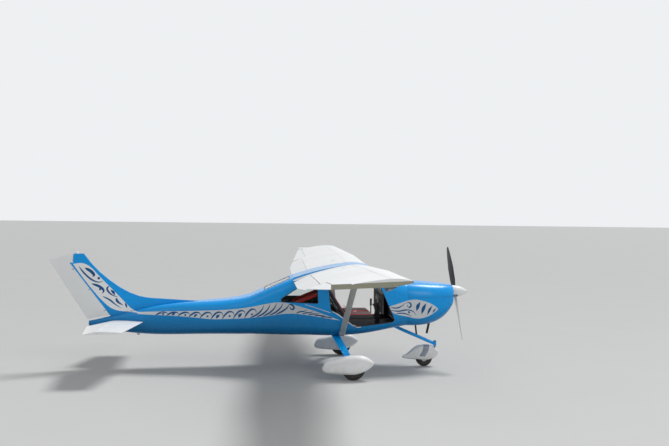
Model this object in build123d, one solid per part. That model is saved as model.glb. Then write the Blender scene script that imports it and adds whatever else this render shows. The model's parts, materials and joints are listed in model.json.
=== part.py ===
from build123d import *
import os
from collections import namedtuple
from math import atan2, cos, radians, sin, sqrt, tan

# A two-seat high-wing microlight aircraft, parked on its wheels, in millimetres.
# +X is forward, +Y is the left side, +Z is up, and the floor is at Z = 0.
# The origin is on the floor under the middle of the aircraft's length and span.

os.makedirs("parts", exist_ok=True)

# Clearances
SEAT_GAP = 0.3
MOVING_GAP = 7.0
SHAFT_GAP = 0.05
END_GAP = 10.0

# Wing
WING_ROOT_Y = 340.0
WING_BREAK_Y = 2100.0
WING_TIP_Y = 4550.0
ROOT_NOSE_X = 1650.0
ROOT_NOSE_Z = 1575.0
TIP_NOSE_X = 1490.0
INNER_CHORD = 1212.0
TIP_CHORD = 800.0
DIHEDRAL = 1.9
INNER_INCIDENCE = 9.4
TIP_INCIDENCE = 5.5
TIP_THINNING = 0.8

# Aerofoil, as shares of the chord: u runs aft from the nose, v runs up
NOSE_RADIUS = 0.018
NOSE_TOP_ANGLE = 65.0
NOSE_LOW_ANGLE = 80.0
CREST_U = 0.30
CREST_V = 0.0795
KEEL_U = 0.35
KEEL_V = -0.042
TAIL_HALF = 0.003

# Flaps and ailerons
FLAP_START_Y = 530.0
FLAP_END_Y = 2885.0
FLAP_HINGE_X = 690.0
FLAP_REST = 6.0
AILERON_START_Y = 2900.0
AILERON_END_Y = 4450.0
AILERON_HINGE_X = 762.0
FLAP_BRACKET_YS = (760.0, 1700.0, 2700.0)
AILERON_BRACKET_YS = (3060.0, 4300.0)

# Hinge brackets: a plate with a round hole on the fixed side, a pin on the moving side
PIN_RADIUS = 4.0
PLATE_THICKNESS = 6.0
PLATE_HALF_HEIGHT = 9.0
SLOT_BEHIND = 18.0
SLOT_HEIGHT = 160.0

# Fuselage: half width, lowest and highest point and corner radii at each station
Ring = namedtuple("Ring", "x half_width low high low_radius high_radius")
FIREWALL_X = 2200.0
TAIL_JOINT_X = -205.0
DECK_X = 454.0
CABIN_WALL = 22.0
TAIL_WALL = 5.0
GLASS = 4.0
COWL_WALL = 6.0
COWL_RINGS = [
    Ring(FIREWALL_X, 455, 690, 1352, 170, 220),
    Ring(2550, 425, 710, 1330, 170, 210),
    Ring(2800, 335, 812, 1311, 150, 180),
    Ring(2965, 215, 990, 1290, 110, 140),
]
CABIN_RINGS = [
    Ring(FIREWALL_X, 455, 690, 1352, 170, 220),
    Ring(1850, 535, 640, 1498, 150, 220),
    Ring(1500, 565, 585, 1625, 140, 200),
    Ring(1000, 560, 556, 1560, 140, 170),
    Ring(DECK_X, 470, 550, 1416, 150, 140),
]
DECK_RINGS = [
    Ring(DECK_X, 470, 550, 1416, 150, 140),
    Ring(TAIL_JOINT_X, 360, 548, 1125, 160, 140),
]
TAIL_RINGS = [
    Ring(TAIL_JOINT_X, 360, 548, 1125, 160, 140),
    Ring(-600, 298, 538, 1056, 155, 145),
    Ring(-1100, 232, 529, 1019, 130, 140),
    Ring(-1728, 150, 524, 940, 105, 110),
    Ring(-2329, 76, 590, 792, 60, 60),
    Ring(-2640, 40, 648, 722, 30, 30),
]

# Doorways and windows, as outlines seen from the side (x, z)
DOORWAY = [(1668, 1500), (1979, 803), (1955, 770), (1389, 706), (1123, 908), (1022, 950), (975, 1372)]
DOORWAY_CORNER = 30.0
SIDE_WINDOW = [(280, 1062), (822, 1050), (806, 1338), (612, 1338), (276, 1103)]
WINDOW_CORNER = 14.0
WINDSHIELD = [(1850, 1210), (2190, 1346), (2190, 1800), (1500, 1800), (1652, 1560)]
REAR_WINDOW_X = (20, 400)
REAR_WINDOW_HALF_WIDTH = 250.0

# Main gear
AXLE_X = 1316.0
TRACK = 2020.0
MAIN_TYRE_RADIUS = 168.0
MAIN_TYRE_WIDTH = 100.0
MAIN_RIM_RADIUS = 62.0
AXLE_RADIUS = 15.0
LEG_THICKNESS = 16.0
LegStation = namedtuple("LegStation", "x y z half_width lean")
LEG_STATIONS = [
    LegStation(1100, 300, 553, 58, 0),
    LegStation(1100, 430, 553, 58, 12),
    LegStation(1213, 868, 372, 50, 52),
    LegStation(AXLE_X, 903, 134, 45, 83),
]
PANT_WALL = 5.0
MAIN_PANT_RINGS = [
    Ring(878, 30, 132, 206, 28, 28),
    Ring(906, 42, 112, 256, 38, 38),
    Ring(980, 56, 100, 281, 46, 48),
    Ring(1156, 82, 86, 329, 60, 66),
    Ring(1316, 94, 84, 358, 66, 76),
    Ring(1440, 86, 112, 352, 62, 72),
    Ring(1545, 58, 166, 308, 48, 52),
    Ring(1600, 22, 214, 262, 21, 21),
]

# Nose gear
NOSE_AXLE_X = 2548.0
NOSE_TYRE_RADIUS = 132.0
NOSE_TYRE_WIDTH = 80.0
NOSE_RIM_RADIUS = 50.0
NOSE_AXLE_RADIUS = 10.0
SWIVEL_X = 2722.0
STEM_RADIUS = 12.0
HEAD_RADIUS = 25.0
HEAD_LOW_Z = 322.0
HEAD_HIGH_Z = 392.0
ARM_RADIUS = 25.0
ARM_POINTS = [(1950, 690), (2190, 578), (2700, 362)]
SHOCK_RADIUS = 14.0
SHOCK_POINTS = [(2396, 730), (2430, 470)]
EXHAUST_RADIUS = 18.0
EXHAUST_POINTS = [(2655, -70, 918), (2574, -70, 530)]
NOSE_PANT_RINGS = [
    Ring(2206, 24, 132, 160, 13, 13),
    Ring(2236, 34, 122, 178, 26, 26),
    Ring(2340, 52, 112, 254, 40, 42),
    Ring(2469, 66, 100, 331, 50, 54),
    Ring(2560, 70, 96, 340, 52, 56),
    Ring(2650, 62, 104, 333, 48, 54),
    Ring(2710, 48, 126, 306, 42, 46),
    Ring(2752, 31, 160, 264, 29, 29),
    Ring(2768, 16, 186, 236, 15, 15),
]

# Engine, propeller and spinner
SHAFT_Z = 1187.0
SHAFT_RADIUS = 30.0
SHAFT_DEPTH = 95.0
ENGINE_X = (2270, 2800)
ENGINE_HALF_WIDTH = 250.0
ENGINE_Z = (900, 1256)
MOUNT_RADIUS = 14.0
COWL_FRONT_X = 2965.0
COWL_SPLIT_Z = 1132.0
INTAKE_Y = 150.0
INTAKE_Z = 1196.0
INTAKE_RADIUS = 44.0
SPINNER_BASE_X = 2985.0
SPINNER_LENGTH = 265.0
SPINNER_RADIUS = 96.0
SPINNER_WALL = 4.0
HUB_RADIUS = 55.0
HUB_X = (2991, 3070)
BLADE_X = 3030.0
PROPELLER_RADIUS = 850.0
PROPELLER_REST = 37.0
BladeStation = namedtuple("BladeStation", "radius chord thickness twist")
BLADE_STATIONS = [
    BladeStation(30, 52, 40, 48),
    BladeStation(200, 98, 22, 40),
    BladeStation(450, 128, 14, 26),
    BladeStation(700, 100, 9, 18),
    BladeStation(PROPELLER_RADIUS, 52, 5, 15),
]

# Fin and rudder, as outlines seen from the side (x, z)
RUDDER_FOOT = (-2329.0, 776.0)
RUDDER_HEAD = (-2959.0, 1605.0)
RUDDER_HALF = 28.0
RUDDER_REAR = [(-2250, 822), (-2668, 744), (-3250, 1644), (-2885, 1742), (-2850, 1500)]
HORN = [(-2893, 1615), (-2885, 1742), (-3050, 1700), (-2985, 1615)]
HORN_HALF = 23.0
LEADING_EDGE = [
    (-1000, 1027), (-1430, 1052), (-1700, 1069), (-1800, 1080), (-1900, 1101), (-2030, 1150),
    (-2187, 1234), (-2340, 1343), (-2489, 1465), (-2612, 1592), (-2730, 1744),
]
FIN_REAR = [(-2875, 1749), (-2883, 1604), (-2960, 1604), (-2300, 730), (-1000, 730)]
LENS_NOSE = 8.0
RUDDER_BRACKETS = (0.12, 0.5, 0.88)
FIN_TOP_Z = 1744.0
BEACON_X = -2827.0
BEACON_RADIUS = 20.0

# Tailplane
STABILIZER_Z = 716.0
STABILIZER_TIP_Y = 1245.0
STABILIZER_ROOT_X = -1802.0
STABILIZER_TIP_X = -1915.0
ELEVATOR_HINGE_X = -2262.0
ELEVATOR_HALF = 20.0
ELEVATOR_ROOT_Y = 112.0
ELEVATOR_CORNER = (-2600.0, 330.0)
ELEVATOR_TIP_X = -2435.0
ELEVATOR_REST = 7.0
ELEVATOR_TUBE_RADIUS = 16.0
ELEVATOR_BRACKET_YS = (420.0, 1080.0)

# Struts
STRUT_FOOT = (1187, 500, 566)
STRUT_TOP = (1200, 2235, 1548)
STRUT_CHORD = 85.0
STRUT_THICKNESS = 35.0
CUTTER_TOP_Z = 2100.0

# Tie-down rings
RING_RADIUS = 20.0
RING_HOLE_RADIUS = 9.0
RING_THICKNESS = 8.0
TAIL_RING_X = -1900.0
TAIL_RING_SKIN_Z = 534.0

# Cabin fittings
FLOOR_POINTS = [(260, 640), (1700, 640), (2190, 716), (2190, 728), (1700, 652), (260, 652)]
SEAT_BASE_X = (1200, 1690)
SEAT_INNER_Y = 24.0
SEAT_OUTER_Y = 445.0
SEAT_BASE_Z = (652.3, 800)
SEAT_BACK_POINTS = [(1204, 780), (1232, 780), (974, 1188), (948, 1172)]
CUSHION_POINTS = [(1268, 800.3), (1274, 834), (1246, 880), (1690, 872), (1686, 800.3)]
BACK_CUSHION_POINTS = [(1220.2, 800.3), (1266, 800.3), (1272, 834), (1025, 1220), (974.4, 1188.2)]
PANEL_POINTS = [(1800, 880), (1826, 880), (1826, 1172), (2196, 1300), (2196, 1312), (1800, 1190)]
PANEL_HALF_WIDTH = 470.0
CONSOLE_POINTS = [(1752, 660.4), (1826, 671.9), (1826, 1100), (1800, 1100), (1752, 800)]
CONSOLE_HALF_WIDTH = 70.0
STICK_X = 1725.0
STICK_Y = 250.0
STICK_TUBE_Z = 666.3
STICK_TOP_Z = 1040.0
PEDAL_X = 2040.0
PEDAL_Z = 765.0
PEDAL_FLOOR_Z = 706.6
PEDAL_YS = (-350, -170, 170, 350)


def mirrored(shape):
    """The same piece on the right side of the aircraft"""
    return mirror(shape, about=Plane.XZ)


def outline_y(points, low_y, high_y, corner=0.0):
    """A plate with an outline in the XZ plane, from low_y to high_y"""
    corners = [(x, low_y, z) for x, z in points]
    if corner:
        wire = Wire(FilletPolyline(*corners, radius=corner, close=True).edges())
    else:
        wire = Wire(Polyline(*corners, close=True).edges())
    return extrude(Face(wire), amount=high_y - low_y, dir=(0, 1, 0))


def outline_z(points, low_z, high_z, corner=0.0):
    """A plate with an outline in the XY plane, from low_z to high_z"""
    corners = [(x, y, low_z) for x, y in points]
    if corner:
        wire = Wire(FilletPolyline(*corners, radius=corner, close=True).edges())
    else:
        wire = Wire(Polyline(*corners, close=True).edges())
    return extrude(Face(wire), amount=high_z - low_z, dir=(0, 0, 1))


def block(x_range, y_range, z_range, corner=0.0):
    """A block between two values of each coordinate, with rounded edges"""
    size = [high - low for low, high in (x_range, y_range, z_range)]
    middle = [(high + low) / 2 for low, high in (x_range, y_range, z_range)]
    solid = Location(middle) * Box(*size)
    return fillet(solid.edges(), corner) if corner else solid


def rod(start, end, radius, hollow=0.0):
    """A round bar or tube between two points"""
    start, end = Vector(*start), Vector(*end)
    plane = Plane(origin=start, z_dir=end - start)
    length = (end - start).length
    solid = extrude(plane * Circle(radius), amount=length)
    if hollow:
        solid -= extrude(plane * Circle(hollow), amount=length)
    return solid


def ring_wire(ring, inset=0.0):
    """One cross-section of the fuselage with rounded corners, in its plane"""
    x, y = ring.x, ring.half_width - inset
    low, high = ring.low + inset, ring.high - inset
    a, b = ring.low_radius - inset, ring.high_radius - inset
    bend = 1 - sqrt(0.5)
    right = [(x, y - a, low), (x, y - a * bend, low + a * bend), (x, y, low + a),
             (x, y, high - b), (x, y - b * bend, high - b * bend), (x, y - b, high)]
    left = [(x, -py, z) for x, py, z in reversed(right)]
    return Wire([
        Line(left[5], right[0]).edge(),
        ThreePointArc(right[0], right[1], right[2]).edge(),
        Line(right[2], right[3]).edge(),
        ThreePointArc(right[3], right[4], right[5]).edge(),
        Line(right[5], left[0]).edge(),
        ThreePointArc(left[0], left[1], left[2]).edge(),
        Line(left[2], left[3]).edge(),
        ThreePointArc(left[3], left[4], left[5]).edge(),
    ])


def hull(rings, inset=0.0, ruled=False):
    """The solid through a row of fuselage cross-sections"""
    return Solid.make_loft([ring_wire(ring, inset) for ring in rings], ruled)


def cabin_hull(inset=0.0):
    """The body from the firewall to the tail cone, with flat ends"""
    return hull(CABIN_RINGS, inset) + hull(DECK_RINGS, inset, ruled=True)


# Wing sections

def wing_station(y):
    """Nose point, chord, incidence and thinning of the wing at a distance y from the middle"""
    share = max(0.0, (y - WING_BREAK_Y) / (WING_TIP_Y - WING_BREAK_Y))
    twist = max(0.0, (y - FLAP_END_Y) / (WING_TIP_Y - FLAP_END_Y))
    nose_x = ROOT_NOSE_X + share * (TIP_NOSE_X - ROOT_NOSE_X)
    nose_z = ROOT_NOSE_Z + max(0.0, y - WING_ROOT_Y) * tan(radians(DIHEDRAL))
    chord = INNER_CHORD + share * (TIP_CHORD - INNER_CHORD)
    incidence = radians(INNER_INCIDENCE + twist * (TIP_INCIDENCE - INNER_INCIDENCE))
    return nose_x, nose_z, chord, incidence, 1 + share * (TIP_THINNING - 1)


def wing_point(y, u, v):
    """The point of the wing section at y that is u aft and v above the nose, in chords"""
    nose_x, nose_z, chord, incidence, thinning = wing_station(y)
    v = v * thinning
    x = nose_x - chord * (u * cos(incidence) + v * sin(incidence))
    z = nose_z - chord * (u * sin(incidence) - v * cos(incidence))
    return x, y, z


def chord_share(y, x):
    """How far aft of the nose, in chords, the station x lies on the chord line at y"""
    nose_x, _, chord, incidence, _ = wing_station(y)
    return (nose_x - x) / (chord * cos(incidence))


def upper_v(u):
    """Height of the upper skin behind the crest: one arc from the crest to the trailing edge"""
    drop, run = CREST_V - TAIL_HALF, 1 - CREST_U
    arc_radius = (run ** 2 + drop ** 2) / (2 * drop)
    return CREST_V - arc_radius + sqrt(arc_radius ** 2 - (u - CREST_U) ** 2)


def lower_v(u):
    """Height of the lower skin behind the keel point: a straight line"""
    return KEEL_V + (u - KEEL_U) / (1 - KEEL_U) * (-TAIL_HALF - KEEL_V)


def arc_middle(start, tangent, end):
    """The middle of the arc that leaves start at the angle tangent and ends at end"""
    run, rise = end[0] - start[0], end[1] - start[1]
    half = (tangent - atan2(rise, run)) / 2
    bulge = tan(half) / 2
    return (start[0] + end[0]) / 2 - rise * bulge, (start[1] + end[1]) / 2 + run * bulge


def nose_edges(y):
    """The nose arc and the two arcs behind it, from the keel point to the crest"""
    top, low = radians(NOSE_TOP_ANGLE), radians(NOSE_LOW_ANGLE)
    nose_top = (NOSE_RADIUS * (1 - cos(top)), NOSE_RADIUS * sin(top))
    nose_low = (NOSE_RADIUS * (1 - cos(low)), -NOSE_RADIUS * sin(low))
    crest, keel = (CREST_U, CREST_V), (KEEL_U, KEEL_V)
    top_middle = arc_middle(nose_top, radians(90) - top, crest)
    low_middle = arc_middle(nose_low, low - radians(90), keel)
    arcs = [(keel, low_middle, nose_low), (nose_low, (0, 0), nose_top), (nose_top, top_middle, crest)]
    return [ThreePointArc(*[wing_point(y, *p) for p in arc]).edge() for arc in arcs]


def full_section(y):
    """The whole aerofoil at y, with a thin blunt trailing edge"""
    middle_u = (CREST_U + 1) / 2
    crest = wing_point(y, CREST_U, CREST_V)
    tail_top = wing_point(y, 1, TAIL_HALF)
    tail_low = wing_point(y, 1, -TAIL_HALF)
    return Wire(nose_edges(y) + [
        ThreePointArc(crest, wing_point(y, middle_u, upper_v(middle_u)), tail_top).edge(),
        Line(tail_top, tail_low).edge(),
        Line(tail_low, wing_point(y, KEEL_U, KEEL_V)).edge(),
    ])


def hinge_section(y, hinge_x):
    """Where a flap or aileron is hinged at y: chord share, mid height and half thickness"""
    u = chord_share(y, hinge_x)
    return u, (upper_v(u) + lower_v(u)) / 2, (upper_v(u) - lower_v(u)) / 2


def hinge_point(y, hinge_x):
    """The hinge axis of a flap or aileron at y"""
    u, v, _ = hinge_section(y, hinge_x)
    return wing_point(y, u, v)


def bay_section(y, hinge_x):
    """The space behind a round cove about the hinge of a flap or aileron, open past the skins"""
    u, v, half = hinge_section(y, hinge_x)
    _, _, chord, incidence, thinning = wing_station(y)
    x, _, z = wing_point(y, u, v)
    reach = half * thinning * chord + MOVING_GAP
    aft, up = (-cos(incidence), -sin(incidence)), (-sin(incidence), cos(incidence))
    top = (x + up[0] * reach, y, z + up[1] * reach)
    front = (x - aft[0] * reach, y, z - aft[1] * reach)
    low = (x - up[0] * reach, y, z - up[1] * reach)
    return Wire([
        ThreePointArc(top, front, low).edge(),
        Line(low, wing_point(y, 1.1, -0.1)).edge(),
        Line(wing_point(y, 1.1, -0.1), wing_point(y, 1.1, 0.1)).edge(),
        Line(wing_point(y, 1.1, 0.1), top).edge(),
    ])


def surface_section(y, hinge_x):
    """A flap or aileron at y: round nose about its hinge and a thin trailing edge"""
    u, v, half = hinge_section(y, hinge_x)
    _, _, _, _, thinning = wing_station(y)
    top, low = wing_point(y, u, v + half), wing_point(y, u, v - half)
    nose = wing_point(y, u - half * thinning, v)
    tail_top = wing_point(y, 1, TAIL_HALF)
    tail_low = wing_point(y, 1, -TAIL_HALF)
    return Wire([
        ThreePointArc(low, nose, top).edge(),
        Line(top, tail_top).edge(),
        Line(tail_top, tail_low).edge(),
        Line(tail_low, low).edge(),
    ])


def wing_left():
    """The fixed wing, closed at root and tip, with a bay for the flap and one for the aileron"""
    gap_y = (FLAP_END_Y + AILERON_START_Y) / 2
    root_y, tip_y = FLAP_START_Y - END_GAP, AILERON_END_Y + END_GAP
    stations = (WING_ROOT_Y, WING_BREAK_Y, gap_y, WING_TIP_Y)
    wing = Solid.make_loft([full_section(y) for y in stations], True)
    flap_stations = (root_y, WING_BREAK_Y, gap_y)
    wing -= Solid.make_loft([bay_section(y, FLAP_HINGE_X) for y in flap_stations], True)
    wing -= Solid.make_loft([bay_section(y, AILERON_HINGE_X) for y in (gap_y, tip_y)], True)
    for frame in flap_frames() + aileron_frames():
        wing += bracket(frame, 70)
    ring_y = STRUT_TOP[1] + 70
    u = chord_share(ring_y, STRUT_TOP[0])
    x, y, z = wing_point(ring_y, u, lower_v(u))
    return wing + tie_down_ring(x, y, z)


def wing_cutter(low_y, high_y, low_section_y):
    """The space above the lower skin of the wing between two distances from the middle"""
    def wire(y, section_y):
        low = radians(NOSE_LOW_ANGLE)
        nose_low = (NOSE_RADIUS * (1 - cos(low)), -NOSE_RADIUS * sin(low))
        nose_middle = (NOSE_RADIUS * (1 - cos(low / 2)), -NOSE_RADIUS * sin(low / 2))
        low_middle = arc_middle(nose_low, low - radians(90), (KEEL_U, KEEL_V))
        spots = [(1, -TAIL_HALF), (KEEL_U, KEEL_V), low_middle, nose_low, nose_middle, (0, 0)]
        ahead = (-5 * SEAT_GAP, 0, 0, 0, 0.7 * SEAT_GAP, SEAT_GAP)
        down = (SEAT_GAP, SEAT_GAP, SEAT_GAP, SEAT_GAP, 0.7 * SEAT_GAP, 0)
        points = [wing_point(section_y, *spot) for spot in spots]
        moved = [(x + a, y, z - d) for (x, _, z), a, d in zip(points, ahead, down)]
        rear, keel, middle, nose, bend, front = moved
        front_top, rear_top = (front[0], y, CUTTER_TOP_Z), (rear[0], y, CUTTER_TOP_Z)
        return Wire([
            Line(rear, keel).edge(),
            ThreePointArc(keel, middle, nose).edge(),
            ThreePointArc(nose, bend, front).edge(),
            Line(front, front_top).edge(),
            Line(front_top, rear_top).edge(),
            Line(rear_top, rear).edge(),
        ])

    return Solid.make_loft([wire(low_y, low_section_y), wire(high_y, high_y)], True)


def cut_under_wings(piece):
    """A piece of the cabin, ended at the lower skins of both wings and of the roof between"""
    side = wing_cutter(WING_ROOT_Y - 1, 760, WING_ROOT_Y)
    root_face = side.faces().sort_by(Axis.Y)[0].moved(Location((0, 6, 0)))
    middle = extrude(root_face, amount=2 * (WING_ROOT_Y + 5), dir=(0, -1, 0))
    return piece - middle - side - mirrored(side)


# Hinges: a frame has its z axis along the hinge and its x axis towards the fixed side

def hinge_frame(point, axis, ahead=(1, 0, 0)):
    axis = Vector(*axis).normalized()
    ahead = Vector(*ahead) - axis * axis.dot(Vector(*ahead))
    return Plane(origin=point, x_dir=ahead.normalized(), z_dir=axis)


def span_frames(hinge_x, start_y, end_y, ys):
    """Frames on the hinge line of a flap or aileron at the distances ys from the middle"""
    start, end = Vector(*hinge_point(start_y, hinge_x)), Vector(*hinge_point(end_y, hinge_x))
    return [hinge_frame(start + (end - start) * ((y - start_y) / (end_y - start_y)), end - start)
            for y in ys]


def flap_frames():
    return span_frames(FLAP_HINGE_X, FLAP_START_Y, FLAP_END_Y, FLAP_BRACKET_YS)


def aileron_frames():
    return span_frames(AILERON_HINGE_X, AILERON_START_Y, AILERON_END_Y, AILERON_BRACKET_YS)


def bracket(frame, reach):
    """The hinge plate of the fixed side"""
    plate = Location((reach / 2, 0, 0)) * Box(reach, 2 * PLATE_HALF_HEIGHT, PLATE_THICKNESS)
    plate += Cylinder(PLATE_HALF_HEIGHT, PLATE_THICKNESS)
    plate -= Cylinder(PIN_RADIUS + SHAFT_GAP, PLATE_THICKNESS)
    return frame.location * plate


def hung(surface, frames):
    """A moving surface with a slot for each hinge plate and a pin across each slot"""
    width = PLATE_THICKNESS + 2 * MOVING_GAP
    depth = SLOT_BEHIND + 60
    for frame in frames:
        middle = Location((depth / 2 - SLOT_BEHIND, 0, 0))
        surface -= frame.location * (middle * Box(depth, SLOT_HEIGHT, width))
        surface += frame.location * Cylinder(PIN_RADIUS, width + 8)
    return surface


def tie_down_ring(x, y, skin_z):
    """A flat ring standing out below a skin"""
    middle_z = skin_z - RING_RADIUS * 0.6
    half = RING_THICKNESS / 2
    ring = rod((x, y - half, middle_z), (x, y + half, middle_z), RING_RADIUS)
    return ring - rod((x, y - half, middle_z), (x, y + half, middle_z), RING_HOLE_RADIUS)


def flap_left():
    """The flap, lowered a little as it is parked"""
    bays = [(FLAP_START_Y, WING_BREAK_Y), (WING_BREAK_Y, FLAP_END_Y)]
    parts = [Solid.make_loft([surface_section(y, FLAP_HINGE_X) for y in bay], True) for bay in bays]
    frames = flap_frames()
    axis = Axis(frames[0].origin, frames[0].z_dir)
    return hung((parts[0] + parts[1]).rotate(axis, -FLAP_REST), frames)


def aileron_left():
    """The aileron, level with the wing"""
    ys = (AILERON_START_Y, AILERON_END_Y)
    surface = Solid.make_loft([surface_section(y, AILERON_HINGE_X) for y in ys], True)
    return hung(surface, aileron_frames())


def roof_fairing():
    """The roof between the wings: the wing's own section with a higher rear edge"""
    y = WING_ROOT_Y - SEAT_GAP
    tail_low = wing_point(WING_ROOT_Y, 1, -TAIL_HALF)
    rear_top = (tail_low[0], y, DECK_RINGS[0].high)
    crest = wing_point(WING_ROOT_Y, CREST_U, CREST_V)
    middle_u = (CREST_U + 1) / 2
    middle = wing_point(WING_ROOT_Y, middle_u, upper_v(middle_u) + 0.014)
    edges = [ThreePointArc(crest, middle, (rear_top[0], WING_ROOT_Y, rear_top[2])).edge(),
             Line((rear_top[0], WING_ROOT_Y, rear_top[2]), tail_low).edge(),
             Line(tail_low, wing_point(WING_ROOT_Y, KEEL_U, KEEL_V)).edge()]
    face = Face(Wire(nose_edges(WING_ROOT_Y) + edges)).moved(Location((0, -SEAT_GAP, 0)))
    return extrude(face, amount=2 * y, dir=(0, -1, 0))


# Cabin

def cabin_shell():
    """The cabin: side walls, belly, pillars and rear deck around one open space"""
    shell = cut_under_wings(cabin_hull() - cabin_cavity())
    shell -= outline_y(DOORWAY, -900, 900, DOORWAY_CORNER)
    shell -= outline_y(SIDE_WINDOW, -900, 900, WINDOW_CORNER)
    shell -= outline_y(WINDSHIELD, -900, 900)
    return shell - rear_opening(0)


def cabin_cavity():
    """The space inside the cabin, from the rear bulkhead to the open front"""
    return cabin_hull(CABIN_WALL) & block((TAIL_JOINT_X + CABIN_WALL, 2300), (-900, 900), (0, 2000))


def rear_opening(inset):
    """The block that cuts the rear window out of the deck, or its pane when it is inset"""
    (low_x, high_x), half = REAR_WINDOW_X, REAR_WINDOW_HALF_WIDTH
    low_x, high_x, half = low_x + inset, high_x - inset, half - inset
    return outline_z([(low_x, -0.86 * half), (high_x, -half), (high_x, half), (low_x, 0.86 * half)],
                     1000, 1600, 30)


def glass_skin():
    """The outermost layer of the cabin, as thick as its windows"""
    return cabin_hull() - cabin_hull(GLASS)


def windshield():
    pane = outline_y(WINDSHIELD, -900, 900).moved(Location((0, 0, 1.3 * SEAT_GAP)))
    return cut_under_wings(glass_skin() & pane & block((1400, WINDSHIELD[1][0]), (-900, 900), (0, 2000)))


def side_window_left():
    middle_x = sum(x for x, _ in SIDE_WINDOW) / len(SIDE_WINDOW)
    middle_z = sum(z for _, z in SIDE_WINDOW) / len(SIDE_WINDOW)
    inner = [(middle_x + (x - middle_x) * 0.998, middle_z + (z - middle_z) * 0.997) for x, z in SIDE_WINDOW]
    return glass_skin() & outline_y(inner, 100, 900, WINDOW_CORNER)


def rear_window():
    return glass_skin() & rear_opening(SEAT_GAP)


def firewall():
    return cabin_hull(CABIN_WALL + SEAT_GAP) & block((FIREWALL_X - 3, FIREWALL_X), (-900, 900), (0, 2000))


def floor():
    return cabin_hull(CABIN_WALL + SEAT_GAP) & outline_y(FLOOR_POINTS, -900, 900)


def seat_frame():
    """The bench under both seats and the board behind them"""
    base = block(SEAT_BASE_X, (-SEAT_OUTER_Y, SEAT_OUTER_Y), SEAT_BASE_Z)
    return base + outline_y(SEAT_BACK_POINTS, -SEAT_OUTER_Y, SEAT_OUTER_Y)


def seat_cushion_left():
    return outline_y(CUSHION_POINTS, SEAT_INNER_Y, SEAT_OUTER_Y, 12)


def seat_back_left():
    return outline_y(BACK_CUSHION_POINTS, SEAT_INNER_Y, SEAT_OUTER_Y, 10)


def instrument_panel():
    """The panel, the shelf in front of it and the console down to the floor"""
    panel = outline_y(PANEL_POINTS, -PANEL_HALF_WIDTH, PANEL_HALF_WIDTH)
    panel &= cabin_hull(CABIN_WALL + SEAT_GAP)
    return panel + outline_y(CONSOLE_POINTS, -CONSOLE_HALF_WIDTH, CONSOLE_HALF_WIDTH)


def control_sticks():
    """Two sticks on one cross tube"""
    sticks = rod((STICK_X, -STICK_Y, STICK_TUBE_Z), (STICK_X, STICK_Y, STICK_TUBE_Z), 10)
    for y in (-STICK_Y, STICK_Y):
        sticks += rod((STICK_X, y, STICK_TUBE_Z), (STICK_X, y, STICK_TOP_Z), 9)
        sticks += rod((STICK_X, y, STICK_TOP_Z - 110), (STICK_X, y, STICK_TOP_Z), 16)
    return sticks


def rudder_pedals():
    """Four pedals on one cross tube"""
    outer_y = PEDAL_YS[-1] + 50
    pedals = rod((PEDAL_X, -outer_y, PEDAL_Z), (PEDAL_X, outer_y, PEDAL_Z), 10)
    pedals += block((PEDAL_X - 10, PEDAL_X + 10), (-30, 30), (PEDAL_FLOOR_Z, PEDAL_Z))
    for y in PEDAL_YS:
        pedals += block((PEDAL_X, PEDAL_X + 12), (y - 40, y + 40), (PEDAL_Z, PEDAL_Z + 135))
    return pedals


# Tail

def tail_cone():
    """The hollow rear body, with the hole for the elevator tube and a tie-down ring below"""
    y = ELEVATOR_ROOT_Y
    tube = rod((ELEVATOR_HINGE_X, -y, STABILIZER_Z), (ELEVATOR_HINGE_X, y, STABILIZER_Z),
               ELEVATOR_TUBE_RADIUS + SHAFT_GAP)
    space = block((TAIL_RINGS[-1].x + 2 * TAIL_WALL, TAIL_JOINT_X + 1), (-900, 900), (0, 2000))
    shell = hull(TAIL_RINGS) - (hull(TAIL_RINGS, TAIL_WALL) & space)
    return shell - tube + tie_down_ring(TAIL_RING_X, 0, TAIL_RING_SKIN_Z)


def lens(place, lead, rear, half):
    """A closed section with a round nose at lead that is 2 * half thick at its flat rear"""
    nose, middle = LENS_NOSE, (lead + rear) / 2
    bulge = half - (half - nose) / 4
    return Wire([
        ThreePointArc(place(lead - nose, -nose), place(lead, 0), place(lead - nose, nose)).edge(),
        ThreePointArc(place(lead - nose, nose), place(middle, bulge), place(rear, half)).edge(),
        Line(place(rear, half), place(rear, -half)).edge(),
        ThreePointArc(place(rear, -half), place(middle, -bulge), place(lead - nose, -nose)).edge(),
    ])


def rudder_axis():
    """Foot, head and direction of the rudder's hinge line, and the direction ahead of it"""
    foot, head = Vector(RUDDER_FOOT[0], 0, RUDDER_FOOT[1]), Vector(RUDDER_HEAD[0], 0, RUDDER_HEAD[1])
    up = (head - foot).normalized()
    return foot, head, up, Vector(up.Z, 0, -up.X)


def rudder_line_x(z):
    (x0, z0), (x1, z1) = RUDDER_FOOT, RUDDER_HEAD
    return x0 + (z - z0) * (x1 - x0) / (z1 - z0)


def rudder_frames():
    foot, head, up, ahead = rudder_axis()
    return [hinge_frame(foot + (head - foot) * share, up, ahead) for share in RUDDER_BRACKETS]


def fin():
    """The fin with its long low root ahead, coved for the rudder"""
    low_z = TAIL_RINGS[-2].low
    levels = [(low_z, LEADING_EDGE[0][0])] + [(z, x) for x, z in LEADING_EDGE]
    wires = [lens(lambda x, t, z=z: (x, t, z), lead, rudder_line_x(z), RUDDER_HALF) for z, lead in levels]
    body = Solid.make_loft(wires, True) & outline_y(FIN_REAR + LEADING_EDGE, -60, 60)
    foot, head, up, _ = rudder_axis()
    body -= rod(foot - up * 300, head + up * 300, RUDDER_HALF + MOVING_GAP)
    for frame in rudder_frames():
        body += bracket(frame, 60)
    return body - hull(TAIL_RINGS, -SEAT_GAP)


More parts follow.
